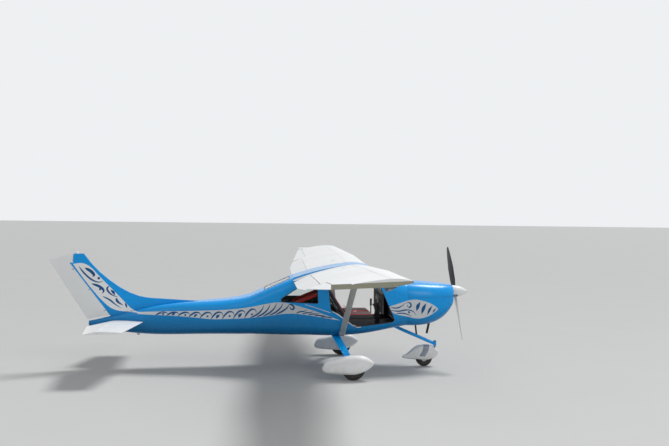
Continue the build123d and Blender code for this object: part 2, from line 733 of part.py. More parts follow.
def rudder():
    """The rudder with a balance horn in front of its hinge line at the top"""
    foot, head, up, _ = rudder_axis()
    low_z, high_z = TAIL_RINGS[-1].high - 60, FIN_TOP_Z + 30
    (x0, z0), (x1, z1) = RUDDER_REAR[1], RUDDER_REAR[2]

    def wedge(z):
        front, rear = rudder_line_x(z), x0 + (z - z0) * (x1 - x0) / (z1 - z0)
        half = RUDDER_HALF - 0.4
        return Wire(Polyline((front, half, z), (rear, 3, z), (rear, -3, z), (front, -half, z), close=True).edges())

    blade = Solid.make_loft([wedge(low_z), wedge(high_z)], True)
    blade += rod(foot + up * 26, head + up * 130, RUDDER_HALF)
    blade += outline_y(HORN, -HORN_HALF, HORN_HALF)
    return hung(blade & outline_y(RUDDER_REAR, -60, 60), rudder_frames())


def elevator_frames():
    return [hinge_frame((ELEVATOR_HINGE_X, y, STABILIZER_Z), (0, 1, 0)) for y in ELEVATOR_BRACKET_YS]


def stabilizer_left():
    """The left half of the fixed tailplane, coved for the elevator"""
    stations = [(60, STABILIZER_ROOT_X), (STABILIZER_TIP_Y, STABILIZER_TIP_X)]
    wires = [lens(lambda x, t, y=y: (x, y, STABILIZER_Z + t), lead, ELEVATOR_HINGE_X, ELEVATOR_HALF)
             for y, lead in stations]
    start, end = [(ELEVATOR_HINGE_X, y, STABILIZER_Z) for y in (0, STABILIZER_TIP_Y + 50)]
    body = Solid.make_loft(wires, True) - rod(start, end, ELEVATOR_HALF + MOVING_GAP)
    for frame in elevator_frames():
        body += bracket(frame, 50)
    return body - hull(TAIL_RINGS, -SEAT_GAP)


def elevator():
    """Both halves of the elevator on one tube through the tail cone"""
    x, z = ELEVATOR_HINGE_X, STABILIZER_Z
    corner_x, corner_y = ELEVATOR_CORNER

    def wedge(y):
        share = (y - corner_y) / (STABILIZER_TIP_Y - corner_y)
        rear = corner_x + share * (ELEVATOR_TIP_X - corner_x)
        half = ELEVATOR_HALF - 0.4
        return Wire(Polyline((x, y, z + half), (rear, y, z + 3), (rear, y, z - 3), (x, y, z - half),
                             close=True).edges())

    half = Solid.make_loft([wedge(ELEVATOR_ROOT_Y), wedge(STABILIZER_TIP_Y)], True)
    half += rod((x, ELEVATOR_ROOT_Y, z), (x, STABILIZER_TIP_Y, z), ELEVATOR_HALF)
    slant = (corner_y - ELEVATOR_ROOT_Y) / (x - corner_x)
    half -= outline_z([(x - 25, ELEVATOR_ROOT_Y - 30), (x - 25, ELEVATOR_ROOT_Y + 25 * slant),
                       (corner_x - 60, corner_y + 60 * slant), (corner_x - 60, ELEVATOR_ROOT_Y - 30)],
                      z - 60, z + 60)
    axis = Axis((x, 0, z), (0, 1, 0))
    half = hung(half.rotate(axis, -ELEVATOR_REST), elevator_frames())
    tube = rod((x, -ELEVATOR_ROOT_Y - 20, z), (x, ELEVATOR_ROOT_Y + 20, z), ELEVATOR_TUBE_RADIUS)
    return half + mirrored(half) + tube


def beacon():
    """The round light on top of the fin"""
    lamp = rod((BEACON_X, 0, FIN_TOP_Z + SEAT_GAP), (BEACON_X, 0, FIN_TOP_Z + 31), BEACON_RADIUS)
    return fillet(lamp.edges().sort_by(Axis.Z)[-1], 13)


# Nose

def cowl(low_z, high_z):
    """The part of the thin engine cowl between two heights"""
    shell = hull(COWL_RINGS)
    shell -= hull(COWL_RINGS, COWL_WALL) & block((2100, COWL_FRONT_X - COWL_WALL), (-900, 900), (0, 2000))
    front, back = COWL_FRONT_X - 20, COWL_FRONT_X + 20
    shell -= rod((front, 0, SHAFT_Z), (back, 0, SHAFT_Z), SHAFT_RADIUS + 12)
    for side in (-1, 1):
        shell -= rod((front, side * INTAKE_Y, INTAKE_Z), (back, side * INTAKE_Y, INTAKE_Z), INTAKE_RADIUS)
    shell -= block((front, back), (-110, 110), (1014, 1062))
    shell -= block((FIREWALL_X - 10, FIREWALL_X + 80), (-160, 160), (600, 760))
    shell -= rod(*EXHAUST_POINTS, EXHAUST_RADIUS + MOVING_GAP)
    return shell & block((2100, 3100), (-900, 900), (low_z, high_z))


def engine_block():
    """The engine as one block on four mounts, with the bore that carries the shaft"""
    (x0, x1), w, (z0, z1) = ENGINE_X, ENGINE_HALF_WIDTH, ENGINE_Z
    body = block((x0, x1), (-w, w), (z0, z1), 12)
    for y in (-180, 180):
        for z in (z0 + 60, z1 - 60):
            body += rod((FIREWALL_X, y, z), (x0 + 30, y, z), MOUNT_RADIUS)
    return body - rod((x1 - SHAFT_DEPTH, 0, SHAFT_Z), (x1 + 10, 0, SHAFT_Z), SHAFT_RADIUS + SHAFT_GAP)


def exhaust():
    pipe = rod(*EXHAUST_POINTS, EXHAUST_RADIUS, EXHAUST_RADIUS - 3)
    return pipe - block((2500, 2700), (-200, 200), (ENGINE_Z[0] - SEAT_GAP, 1100))


def blade_wire(station):
    """The section of a propeller blade across its length, which points up"""
    half_chord, half = station.chord / 2, station.thickness / 2
    across, along = sin(radians(station.twist)), cos(radians(station.twist))

    def place(u, v):
        return BLADE_X + u * across + v * along, v * across - u * along, station.radius

    front, back = place(half_chord, 0), place(-half_chord, 0)
    return Wire([ThreePointArc(front, place(0, half), back).edge(),
                 ThreePointArc(back, place(0, -half), front).edge()])


def propeller():
    """Two twisted blades, their hub and the shaft into the engine"""
    axis = Axis((0, 0, 0), (1, 0, 0))
    blade = Solid.make_loft([blade_wire(station) for station in BLADE_STATIONS], True)
    blades = blade + blade.rotate(axis, 180)
    whole = blades.moved(Location((0, 0, SHAFT_Z))).rotate(Axis((0, 0, SHAFT_Z), (1, 0, 0)), -PROPELLER_REST)
    whole += rod((HUB_X[0], 0, SHAFT_Z), (HUB_X[1], 0, SHAFT_Z), HUB_RADIUS)
    return whole + rod((ENGINE_X[1] - SHAFT_DEPTH + 5, 0, SHAFT_Z), (HUB_X[0] + 10, 0, SHAFT_Z), SHAFT_RADIUS)


def spinner():
    """The hollow pointed spinner with an opening for each blade"""
    def dome(base_x, radius, length):
        base, shoulder = (base_x, 0, SHAFT_Z + radius), (base_x + 0.93 * length, 0, SHAFT_Z + 0.17 * radius)
        tip, middle = (base_x + length, 0, SHAFT_Z), (base_x + 0.5 * length, 0, SHAFT_Z + 0.79 * radius)
        edges = [ThreePointArc(base, middle, shoulder).edge(), Line(shoulder, tip).edge(),
                 Line(tip, (base_x, 0, SHAFT_Z)).edge(), Line((base_x, 0, SHAFT_Z), base).edge()]
        return revolve(Face(Wire(edges)), axis=Axis((0, 0, SHAFT_Z), (1, 0, 0)))

    wall = SPINNER_WALL
    shell = dome(SPINNER_BASE_X, SPINNER_RADIUS, SPINNER_LENGTH)
    shell -= dome(SPINNER_BASE_X + wall, SPINNER_RADIUS - wall, SPINNER_LENGTH - 3 * wall)
    shell -= rod((SPINNER_BASE_X - 5, 0, SHAFT_Z), (SPINNER_BASE_X + 10, 0, SHAFT_Z), SHAFT_RADIUS + SHAFT_GAP)
    lean = radians(PROPELLER_REST)
    for side in (-1, 1):
        up = Vector(0, sin(lean), cos(lean)) * side
        start = Vector(BLADE_X, 0, SHAFT_Z)
        shell -= rod(start + up * (HUB_RADIUS + 2), start + up * 120, 42)
    return shell


# Landing gear

def turned(points_and_arcs, x, y, z):
    """The solid turned about the axle at (x, y, z) from edges given as (radius, offset along Y)"""
    edges = []
    for spots in points_and_arcs:
        placed = [(x, y + offset, z + radius) for radius, offset in spots]
        edges.append(Line(*placed).edge() if len(placed) == 2 else ThreePointArc(*placed).edge())
    return revolve(Face(Wire(edges)), axis=Axis((x, y, z), (0, 1, 0)))


def rim(x, y, z, radius, bore, half_width):
    """A wheel rim with its hub, turned in one piece"""
    r, w = radius - SEAT_GAP, half_width
    spots = [(bore, -w), (bore + 13, -w), (bore + 13, -6), (r - 8, -6), (r - 8, -w), (r, -w),
             (r, w), (r - 8, w), (r - 8, 6), (bore + 13, 6), (bore + 13, w), (bore, w)]
    return turned(list(zip(spots, spots[1:] + spots[:1])), x, y, z)


def tyre(x, y, radius, width, rim_radius):
    """A plain tyre with a round tread, standing on the floor"""
    w, depth = width / 2, radius - rim_radius
    side, shoulder = rim_radius + 0.5 * depth, radius - 0.13 * depth
    edges = [
        [(rim_radius, -0.8 * w), (rim_radius, 0.8 * w)],
        [(rim_radius, 0.8 * w), (rim_radius + 0.08 * depth, 0.93 * w)],
        [(rim_radius + 0.08 * depth, 0.93 * w), (side, w), (shoulder, 0.72 * w)],
        [(shoulder, 0.72 * w), (radius, 0), (shoulder, -0.72 * w)],
        [(shoulder, -0.72 * w), (side, -w), (rim_radius + 0.08 * depth, -0.93 * w)],
        [(rim_radius + 0.08 * depth, -0.93 * w), (rim_radius, -0.8 * w)],
    ]
    return turned(edges, x, y, radius)


def main_rim_left():
    bore = AXLE_RADIUS + SHAFT_GAP
    return rim(AXLE_X, TRACK / 2, MAIN_TYRE_RADIUS, MAIN_RIM_RADIUS, bore, 0.44 * MAIN_TYRE_WIDTH)


def main_tyre_left():
    return tyre(AXLE_X, TRACK / 2, MAIN_TYRE_RADIUS, MAIN_TYRE_WIDTH, MAIN_RIM_RADIUS)


def gear_leg_left():
    """The spring blade from under the belly down to the stub axle"""
    wires = []
    for x, y, z, half_width, lean in LEG_STATIONS:
        run, rise = [LEG_THICKNESS / 2 * part for part in (sin(radians(lean)), cos(radians(lean)))]
        corners = [(x - half_width, y - run, z - rise), (x + half_width, y - run, z - rise),
                   (x + half_width, y + run, z + rise), (x - half_width, y + run, z + rise)]
        wires.append(Wire(Polyline(*corners, close=True).edges()))
    blade = Solid.make_loft(wires, True) - cabin_hull(-SEAT_GAP)
    z = MAIN_TYRE_RADIUS
    return blade + rod((AXLE_X, LEG_STATIONS[-1].y - 4, z), (AXLE_X, TRACK / 2 + 52, z), AXLE_RADIUS)


def pant(rings, y, tyre_width, axle_x, opening):
    """A thin wheel fairing, open below for the tyre"""
    shell = hull(rings) - hull(rings, PANT_WALL)
    low_z = min(ring.low for ring in rings)
    w = tyre_width / 2 + MOVING_GAP + 3
    shell -= block((axle_x - opening, axle_x + opening), (-w, w), (low_z - 20, low_z + 62))
    return shell.moved(Location((0, y, 0)))


def main_pant_left():
    """The main wheel fairing, with the hole for the axle in its inner side"""
    shell = pant(MAIN_PANT_RINGS, TRACK / 2, MAIN_TYRE_WIDTH, AXLE_X, 172)
    z = MAIN_TYRE_RADIUS
    return shell - rod((AXLE_X, 800, z), (AXLE_X, TRACK / 2, z), AXLE_RADIUS + SHAFT_GAP)


def strut_left():
    """The wing strut, ended at the belly and at the lower skin of the wing"""
    foot, top = Vector(*STRUT_FOOT), Vector(*STRUT_TOP)
    along = (top - foot).normalized()
    across = along.cross(Vector(1, 0, 0)).normalized()
    c, t = STRUT_CHORD / 2, STRUT_THICKNESS / 2

    def place(u, v):
        return foot + Vector(1, 0, 0) * u + across * v

    section = Wire([
        ThreePointArc(place(0.5 * c, -t), place(c, 0), place(0.5 * c, t)).edge(),
        ThreePointArc(place(0.5 * c, t), place(-0.3 * c, 0.75 * t), place(-c, 2)).edge(),
        Line(place(-c, 2), place(-c, -2)).edge(),
        ThreePointArc(place(-c, -2), place(-0.3 * c, -0.75 * t), place(0.5 * c, -t)).edge(),
    ])
    bar = extrude(Face(section), amount=(top - foot).length, dir=along)
    return bar - cabin_hull(-SEAT_GAP) - wing_cutter(WING_BREAK_Y, 2500, WING_BREAK_Y)


def nose_arm():
    """The bent tube from the belly to the swivel head"""
    points = [(x, 0, z) for x, z in ARM_POINTS]
    arm = rod(points[0], points[1], ARM_RADIUS) + rod(points[1], points[2], ARM_RADIUS)
    arm += Location(points[1]) * Sphere(ARM_RADIUS)
    arm += rod((SWIVEL_X, 0, HEAD_LOW_Z), (SWIVEL_X, 0, HEAD_HIGH_Z), HEAD_RADIUS)
    arm -= rod((SWIVEL_X, 0, HEAD_LOW_Z - 10), (SWIVEL_X, 0, HEAD_HIGH_Z + 10), STEM_RADIUS + SHAFT_GAP)
    return arm - cabin_hull(-SEAT_GAP)


def nose_shock():
    """The spring leg between the belly and the nose arm"""
    (x0, z0), (x1, z1) = SHOCK_POINTS
    (x2, z2), (x3, z3) = ARM_POINTS[1:]
    leg = rod((x0, 0, z0), (x1, 0, z1), SHOCK_RADIUS)
    leg -= rod((x2, 0, z2), (x3, 0, z3), ARM_RADIUS + SEAT_GAP)
    return leg - block((2100, 2700), (-100, 100), (0, z1 + 10)) - hull(COWL_RINGS, -SEAT_GAP)


def nose_fork():
    """The fork that swivels under the nose arm and carries the axle"""
    z = NOSE_TYRE_RADIUS
    fork = rod((SWIVEL_X, 0, 230), (SWIVEL_X, 0, HEAD_HIGH_Z + 4), STEM_RADIUS)
    fork += rod((SWIVEL_X, 0, HEAD_HIGH_Z + SEAT_GAP), (SWIVEL_X, 0, HEAD_HIGH_Z + 12), HEAD_RADIUS - 5)
    fork += block((2655, 2742), (-16, 16), (226, 250)) + block((2655, 2668), (-51, 51), (226, 246))
    side = outline_y([(2669, 226), (2669, 246), (2655, 246), (2536, 146), (2536, 118), (2560, 118)], 45, 51)
    fork += side + mirrored(side)
    return fork + rod((NOSE_AXLE_X, -51, z), (NOSE_AXLE_X, 51, z), NOSE_AXLE_RADIUS)


def nose_pant():
    """The nose wheel fairing, with the hole for the fork's stem in its top"""
    shell = pant(NOSE_PANT_RINGS, 0, NOSE_TYRE_WIDTH, NOSE_AXLE_X, 140)
    return shell - rod((SWIVEL_X, 0, 240), (SWIVEL_X, 0, 400), STEM_RADIUS + SHAFT_GAP)


def nose_rim():
    bore = NOSE_AXLE_RADIUS + SHAFT_GAP
    return rim(NOSE_AXLE_X, 0, NOSE_TYRE_RADIUS, NOSE_RIM_RADIUS, bore, 0.425 * NOSE_TYRE_WIDTH)


def nose_tyre():
    return tyre(NOSE_AXLE_X, 0, NOSE_TYRE_RADIUS, NOSE_TYRE_WIDTH, NOSE_RIM_RADIUS)


# Each piece by name: first those on the middle line, then those with a mirrored twin

MIDDLE_PIECES = {
    "roof_fairing": roof_fairing,
    "cabin_shell": cabin_shell,
    "windshield": windshield,
    "rear_window": rear_window,
    "firewall": firewall,
    "floor": floor,
    "seat_frame": seat_frame,
    "instrument_panel": instrument_panel,
    "control_sticks": control_sticks,
    "rudder_pedals": rudder_pedals,
    "tail_cone": tail_cone,
    "fin": fin,
    "rudder": rudder,
    "elevator": elevator,
    "beacon": beacon,
    "cowl_top": lambda: cowl(COWL_SPLIT_Z, 2000),
    "cowl_bottom": lambda: cowl(0, COWL_SPLIT_Z - SEAT_GAP),
    "engine_block": engine_block,
    "exhaust": exhaust,
    "propeller": propeller,
    "spinner": spinner,
    "nose_arm": nose_arm,
    "nose_shock": nose_shock,
    "nose_fork": nose_fork,
    "nose_pant": nose_pant,
    "nose_rim": nose_rim,
    "nose_tyre": nose_tyre,
}
PAIRED_PIECES = {
    "wing": wing_left,
    "flap": flap_left,
    "aileron": aileron_left,
    "side_window": side_window_left,
    "seat_cushion": seat_cushion_left,
    "seat_back": seat_back_left,
    "stabilizer": stabilizer_left,
    "strut": strut_left,
    "gear_leg": gear_leg_left,
    "main_pant": main_pant_left,
    "main_rim": main_rim_left,
    "main_tyre": main_tyre_left,
}


def main():
    pieces = {name: build() for name, build in MIDDLE_PIECES.items()}
    for name, build in PAIRED_PIECES.items():
        pieces[f"{name}_left"] = build()
        pieces[f"{name}_right"] = mirrored(pieces[f"{name}_left"])
    for name, piece in pieces.items():
        print(name, len(piece.solids()), round(piece.volume / 1e6, 3), piece.is_valid)
        export_step(piece, f"parts/{name}.step")


main()
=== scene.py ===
import bpy
import bmesh
import json
from math import cos, exp, hypot, pi, radians, sin, sqrt
from mathutils import Matrix, Vector
from mathutils.bvhtree import BVHTree
from mathutils.geometry import delaunay_2d_cdt


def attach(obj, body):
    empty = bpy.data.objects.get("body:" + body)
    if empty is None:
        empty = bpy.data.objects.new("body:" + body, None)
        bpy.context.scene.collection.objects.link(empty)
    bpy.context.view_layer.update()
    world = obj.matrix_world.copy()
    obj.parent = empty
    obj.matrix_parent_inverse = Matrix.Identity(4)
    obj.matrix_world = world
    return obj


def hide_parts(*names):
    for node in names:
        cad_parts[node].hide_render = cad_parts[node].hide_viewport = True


# A two-seat high-wing microlight aircraft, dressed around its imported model.
# Metres, +X forward, +Y the left side, +Z up, floor at Z = 0.

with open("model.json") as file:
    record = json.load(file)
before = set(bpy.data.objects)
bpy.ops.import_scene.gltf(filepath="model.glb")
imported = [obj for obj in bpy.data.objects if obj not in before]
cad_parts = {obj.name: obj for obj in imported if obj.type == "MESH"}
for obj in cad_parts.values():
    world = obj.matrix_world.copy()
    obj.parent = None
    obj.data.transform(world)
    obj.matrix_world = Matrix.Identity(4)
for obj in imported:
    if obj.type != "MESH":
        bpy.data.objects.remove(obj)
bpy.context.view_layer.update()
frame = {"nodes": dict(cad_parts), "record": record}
NODES = frame["nodes"]
SIDES = (("right", -1), ("left", 1))
FORWARD, LEFT, UP = Vector((1, 0, 0)), Vector((0, 1, 0)), Vector((0, 0, 1))

# Colours

WHITE = (0.83, 0.84, 0.84)
BLUE = (0.001, 0.335, 0.83)
# The roof strip's blue, made paler than the body's as a painted reflection of the sky
ROOF_SHEEN_BLUE = (0.055, 0.33, 0.7)
# Dark blue mixed into the body's blue low down, as painted shade under the body
BELLY_SHADE_BLUE = (0, 0.02, 0.05)
SILVER = (0.62, 0.65, 0.68)
RED = (0.55, 0.015, 0.012)
DARK = (0.035, 0.036, 0.04)
GREY = (0.33, 0.335, 0.32)
LINING = (0.03, 0.03, 0.034)
DUST = (0.36, 0.32, 0.26)

BLUE_COAT = 0.15
# How strongly painted shade darkens the body's blue at the bottom, and the heights over which it fades out
# going up
BELLY_SHADE_SHARE = 0.66
BELLY_SHADE_Z = (0.6, 1)
DUST_Z = (0.42, 0.06)
WHITE_FINISH = {"rough": 0.36, "coat": 0.06, "level": 0.3}

# Middle height of the body along its length, as (x, z)
CENTRE_LINE = [(-2.64, 0.715), (-1.9, 0.7), (-0.205, 0.836), (0.454, 0.983),
               (1, 1.058), (1.5, 1.105), (1.85, 1.07), (2.2, 1.021)]

# The upper edge of the painted shade on a wing tip's flat end, from its rear to its front
TIP_EDGE_X = (0.69, 1.47)
TIP_EDGE_Z = (1.686, 1.724)
TIP_SLOPE = 0.0487
TIP_Y = 4.54
TIP_TAIL_Z = 1.633
TIP_LIFT = 0.0006


# Materials

class Tree:
    """A material's nodes, made one line each"""

    def __init__(self, name):
        self.material = bpy.data.materials.new(name)
        self.material.use_nodes = True
        self.nodes = self.material.node_tree.nodes
        self.links = self.material.node_tree.links
        self.shader = self.nodes["Principled BSDF"]
        self.place = self.new("TexCoord").outputs["Object"]

    def new(self, kind, **inputs):
        """A node with its named inputs linked or set"""
        node = self.nodes.new(f"ShaderNode{kind}")
        for name, value in inputs.items():
            self.put(node.inputs[name], value)
        return node

    def put(self, socket, value):
        if isinstance(value, bpy.types.NodeSocket):
            self.links.new(value, socket)
        else:
            socket.default_value = (*value, 1) if socket.type == "RGBA" else value

    def noise(self, scale, detail=4.0, stretch=None):
        place = self.new("Mapping", Vector=self.place, Scale=stretch).outputs[0] if stretch else self.place
        return self.new("TexNoise", Vector=place, Scale=scale, Detail=detail, Roughness=0.55).outputs["Fac"]

    def ramp(self, value, low, high, start=0.0, end=1.0):
        """The value between low and high, spread over start to end"""
        limits = {"From Min": low, "From Max": high, "To Min": start, "To Max": end}
        return self.new("MapRange", Value=value, **limits).outputs["Result"]

    def mix(self, share, first, second):
        node = self.new("Mix")
        node.data_type = "RGBA"
        for name, value in (("Factor", share), ("A", first), ("B", second)):
            self.put(node.inputs[name], value)
        return node.outputs["Result"]

    def math(self, operation, first, second=0.0, clamp=False):
        node = self.new("Math")
        node.operation = operation
        node.use_clamp = clamp
        self.put(node.inputs[0], first)
        self.put(node.inputs[1], second)
        return node.outputs[0]

    def bump(self, height, distance, strength):
        return self.new("Bump", Height=height, Distance=distance, Strength=strength).outputs["Normal"]

    def parts(self, vector):
        """A vector's X, Y and Z"""
        return self.new("SeparateXYZ", Vector=vector).outputs

    def surface(self):
        """The surface's place and normal, each as X, Y and Z"""
        node = self.new("NewGeometry")
        return self.parts(node.outputs["Position"]), self.parts(node.outputs["Normal"])

    def linked(self, name):
        """What drives one of the shader's sockets so far"""
        return self.shader.inputs[name].links[0].from_socket

    def set(self, **values):
        names = {"color": "Base Color", "rough": "Roughness", "metal": "Metallic", "normal": "Normal",
                 "coat": "Coat Weight", "coat_rough": "Coat Roughness", "glass": "Transmission Weight",
                 "ior": "IOR", "sheen": "Sheen Weight", "level": "Specular IOR Level"}
        for key, value in values.items():
            self.put(self.shader.inputs[names[key]], value)
        return self.material

    def line(self, mask, darkest, lightest, **values):
        """Rough grained lining in place of the paint where the mask is 1"""
        grain = self.ramp(self.noise(240, 3), 0.35, 0.7)
        trim = self.mix(grain, shade(LINING, darkest), shade(LINING, lightest))
        rough = self.math("MAXIMUM", self.linked("Roughness"), self.math("MULTIPLY", mask, 0.85))
        return self.set(color=self.mix(mask, self.linked("Base Color"), trim), rough=rough, **values)


def shade(color, factor):
    return tuple(min(1.0, channel * factor) for channel in color)


def paint(name, color, rough=0.3, dust=0.05, coat=0.2, tree=None, level=0.35, belly_shade=0.0):
    """Gloss paint with a faint orange peel, a little uneven fading, dust near the ground and, where asked,
    painted shade that darkens it towards the belly
    """
    tree = tree or Tree(name)
    fading = tree.ramp(tree.noise(1.6), 0.3, 0.7)
    base = tree.mix(fading, shade(color, 0.96), shade(color, 1.03))
    height = tree.parts(tree.place)["Z"]
    # Painted shade: the colour darkens towards the belly, low on the body
    if belly_shade:
        base = tree.mix(tree.ramp(height, *BELLY_SHADE_Z, belly_shade, 0.0), base, BELLY_SHADE_BLUE)
    low = tree.ramp(height, *DUST_Z)
    specks = tree.ramp(tree.noise(11, 8), 0.42, 0.78)
    dusty = tree.math("MULTIPLY", tree.math("MULTIPLY", low, specks), 8 * dust, True)
    base = tree.mix(dusty, base, DUST)
    wear = tree.ramp(tree.noise(6, 6), 0.35, 0.75, rough * 0.85, rough * 1.25)
    peel = tree.bump(tree.noise(70, 2), 0.0003, 0.1)
    return tree.set(color=base, rough=wear, level=level, coat=coat, coat_rough=0.2, normal=peel)


def lined_paint(name):
    """Paint outside and dark trim inside: inside faces look towards the body's centre line"""
    tree = Tree(name)
    # The blue paint darkens towards the belly as painted shade
    paint(name, BLUE, 0.28, 0.04, BLUE_COAT, tree, 0.2, BELLY_SHADE_SHARE)
    spot, facing = tree.surface()
    centre = CENTRE_LINE[0][1]
    for (x0, z0), (x1, z1) in zip(CENTRE_LINE, CENTRE_LINE[1:]):
        centre = tree.math("ADD", tree.ramp(spot["X"], x0, x1, 0.0, z1 - z0), centre)
    sideways = tree.math("MULTIPLY", spot["Y"], facing["Y"])
    upwards = tree.math("MULTIPLY", tree.math("SUBTRACT", spot["Z"], centre), facing["Z"])
    within = tree.math("LESS_THAN", tree.math("ADD", sideways, upwards), 0.0)
    gloss = tree.math("MULTIPLY", tree.math("SUBTRACT", 1.0, within), BLUE_COAT)
    return tree.line(within, 0.7, 1.5, coat=gloss)


def roof_paint_and_sky_reflection(name):
    """Pale blue paint on top, paler than the body's blue as a painted reflection of the sky, and dark lining
    underneath
    """
    tree = Tree(name)
    # The pale blue on top is a painted reflection of the sky
    paint(name, ROOF_SHEEN_BLUE, 0.26, 0.02, 0.3, tree)
    _, facing = tree.surface()
    return tree.line(tree.math("LESS_THAN", facing["Z"], -0.2), 0.9, 2.2)


def blade_paint(name):
    """Matt black on the blades' rear faces, so they don't dazzle, and pale grey on their front faces"""
    tree = Tree(name)
    _, facing = tree.surface()
    front = tree.math("GREATER_THAN", facing["X"], 0.08)
    nicks = tree.ramp(tree.noise(60, 6), 0.35, 0.7)
    black = tree.mix(nicks, (0.01, 0.01, 0.012), (0.022, 0.022, 0.024))
    grey = tree.mix(nicks, (0.3, 0.31, 0.32), (0.36, 0.37, 0.38))
    rough = tree.ramp(nicks, 0, 1, 0.32, 0.42)
    normal = tree.bump(tree.noise(400, 3), 0.0001, 0.2)
    return tree.set(color=tree.mix(front, black, grey), rough=rough, normal=normal)


def wing_paint(name):
    """White paint, with the flat end of each wing tip painted a dull grey-green as painted shade with a
    painted reflection of the ground
    """
    tree = Tree(name)
    paint(name, WHITE, tree=tree, **WHITE_FINISH)
    spot, facing = tree.surface()
    flat = tree.math("GREATER_THAN", tree.math("ABSOLUTE", facing["Y"]), 0.9)
    outmost = tree.math("GREATER_THAN", tree.math("ABSOLUTE", spot["Y"]), TIP_Y)
    under = tree.math("LESS_THAN", spot["Z"], tree.ramp(spot["X"], *TIP_EDGE_X, *TIP_EDGE_Z))
    # Painted shade: the tip's flat end below the edge line takes a dull grey-green for the shade and the
    # ground's reflection on it
    end = tree.math("MULTIPLY", tree.math("MULTIPLY", flat, outmost), under)
    painted_tip_shade = tree.mix(tree.noise(9, 6), (0.27, 0.27, 0.2), (0.34, 0.34, 0.26))
    return tree.set(color=tree.mix(end, tree.linked("Base Color"), painted_tip_shade))


def metal(name, color, rough=0.35, grain=(1, 1, 1)):
    """Bare metal with fine brushed grain and duller patches"""
    tree = Tree(name)
    streaks = tree.noise(160, 3, grain)
    patches = tree.ramp(tree.noise(9, 5), 0.3, 0.75)
    base = tree.mix(patches, shade(color, 0.86), color)
    rough = tree.ramp(streaks, 0.3, 0.7, rough * 0.75, rough * 1.3)
    return tree.set(color=base, metal=1.0, rough=rough, normal=tree.bump(streaks, 0.0003, 0.15))


def plastic(name, color, rough=0.5, grain=260.0, depth=0.0004):
    """Moulded or painted surface with a fine grain"""
    tree = Tree(name)
    patches = tree.ramp(tree.noise(7, 5), 0.3, 0.7)
    base = tree.mix(patches, shade(color, 0.82), shade(color, 1.15))
    rough = tree.ramp(tree.noise(30, 4), 0.3, 0.7, rough * 0.85, rough * 1.15)
    return tree.set(color=base, rough=rough, normal=tree.bump(tree.noise(grain, 3), depth, 0.35))


def rubber(name):
    """Black rubber with dusty patches"""
    tree = Tree(name)
    dust = tree.ramp(tree.noise(14, 8), 0.4, 0.75)
    base = tree.mix(dust, (0.012, 0.012, 0.012), (0.055, 0.05, 0.045))
    normal = tree.bump(tree.noise(300, 4), 0.0006, 0.5)
    return tree.set(color=base, rough=tree.ramp(dust, 0, 1, 0.6, 0.9), normal=normal)


def fabric(name, color):
    """Woven cloth: two crossed thread waves, with sheen"""
    tree = Tree(name)
    waves = []
    for turn in (0, pi / 2):
        place = tree.new("Mapping", Vector=tree.place, Rotation=(0.5, 0.3, turn)).outputs[0]
        waves.append(tree.new("TexWave", Vector=place, Scale=170, Distortion=0.6).outputs["Fac"])
    weave = tree.math("MAXIMUM", *waves)
    worn = tree.ramp(tree.noise(5, 6), 0.3, 0.75)
    base = tree.mix(weave, shade(color, 0.55), shade(color, 1.25))
    base = tree.mix(tree.math("MULTIPLY", worn, 0.35), base, shade(color, 1.9))
    return tree.set(color=base, rough=0.85, sheen=0.35, normal=tree.bump(weave, 0.0008, 0.5))


def glass(name):
    """Clear acrylic with a faint green-grey tint and hairline scratches"""
    tree = Tree(name)
    scratches = tree.noise(90, 6, (1, 1, 14))
    rough = tree.ramp(scratches, 0.55, 0.8, 0.02, 0.14)
    normal = tree.bump(scratches, 0.0002, 0.08)
    return tree.set(color=(0.9, 0.95, 0.95), rough=rough, glass=1, ior=1.12, normal=normal)


MATERIALS = {
    "wing_white": paint("white_paint", WHITE, **WHITE_FINISH),
    # The body's blue darkens towards the belly as painted shade
    "body_blue": paint("blue_paint", BLUE, 0.28, 0.04, BLUE_COAT, level=0.2, belly_shade=BELLY_SHADE_SHARE),
    "window_glass": glass("acrylic"),
    "strut_grey": paint("grey_paint", GREY, 0.42, 0.05, 0.1),
    "leg_blue": paint("blue_leg_paint", shade(BLUE, 1.12), 0.28, 0.08, 0.15, level=0.2),
    "tyre_rubber": rubber("tyre_rubber"),
    "rim_metal": metal("turned_aluminium", (0.62, 0.63, 0.65), 0.3),
    "dark_metal": plastic("black_enamel", DARK, 0.35),
    "blade_black": plastic("blade_black", (0.014, 0.014, 0.016), 0.28, 500, 0.0001),
    "cabin_dark": plastic("cabin_lining", (0.05, 0.05, 0.055), 0.75, 180, 0.001),
    "seat_fabric": fabric("seat_cloth", (0.035, 0.035, 0.04)),
    "engine_metal": metal("cast_engine", (0.24, 0.24, 0.25), 0.55),
    "steel": metal("brushed_sheet", (0.5, 0.5, 0.51), 0.32, (1, 30, 1)),
    "exhaust_black": metal("heat_black", (0.06, 0.055, 0.05), 0.6),
    "lamp_clear": plastic("lamp_lens", (0.85, 0.86, 0.86), 0.12, 300, 0.0001),
}
SILVER_PAINT = paint("silver_livery", SILVER, 0.3, 0.04, 0.2)
MARK_BLUE = paint("mark_blue", (0.001, 0.085, 0.25), 0.3, 0.03, 0.15, level=0.2)
RED_CLOTH = fabric("red_cloth", RED)
WEB_RED = fabric("red_webbing", (0.62, 0.02, 0.015))
SEAL = rubber("door_seal")
SEAM = plastic("seam_shadow", (0.045, 0.05, 0.055), 0.8)
FAINT_SEAM = plastic("faint_seam", (0.42, 0.43, 0.44), 0.6)
PANEL_GREY = plastic("band_grey", (0.3, 0.33, 0.39), 0.4)
WING_PAINT = wing_paint("wing_paint")
LINED_PAINT = lined_paint("lined_blue_paint")
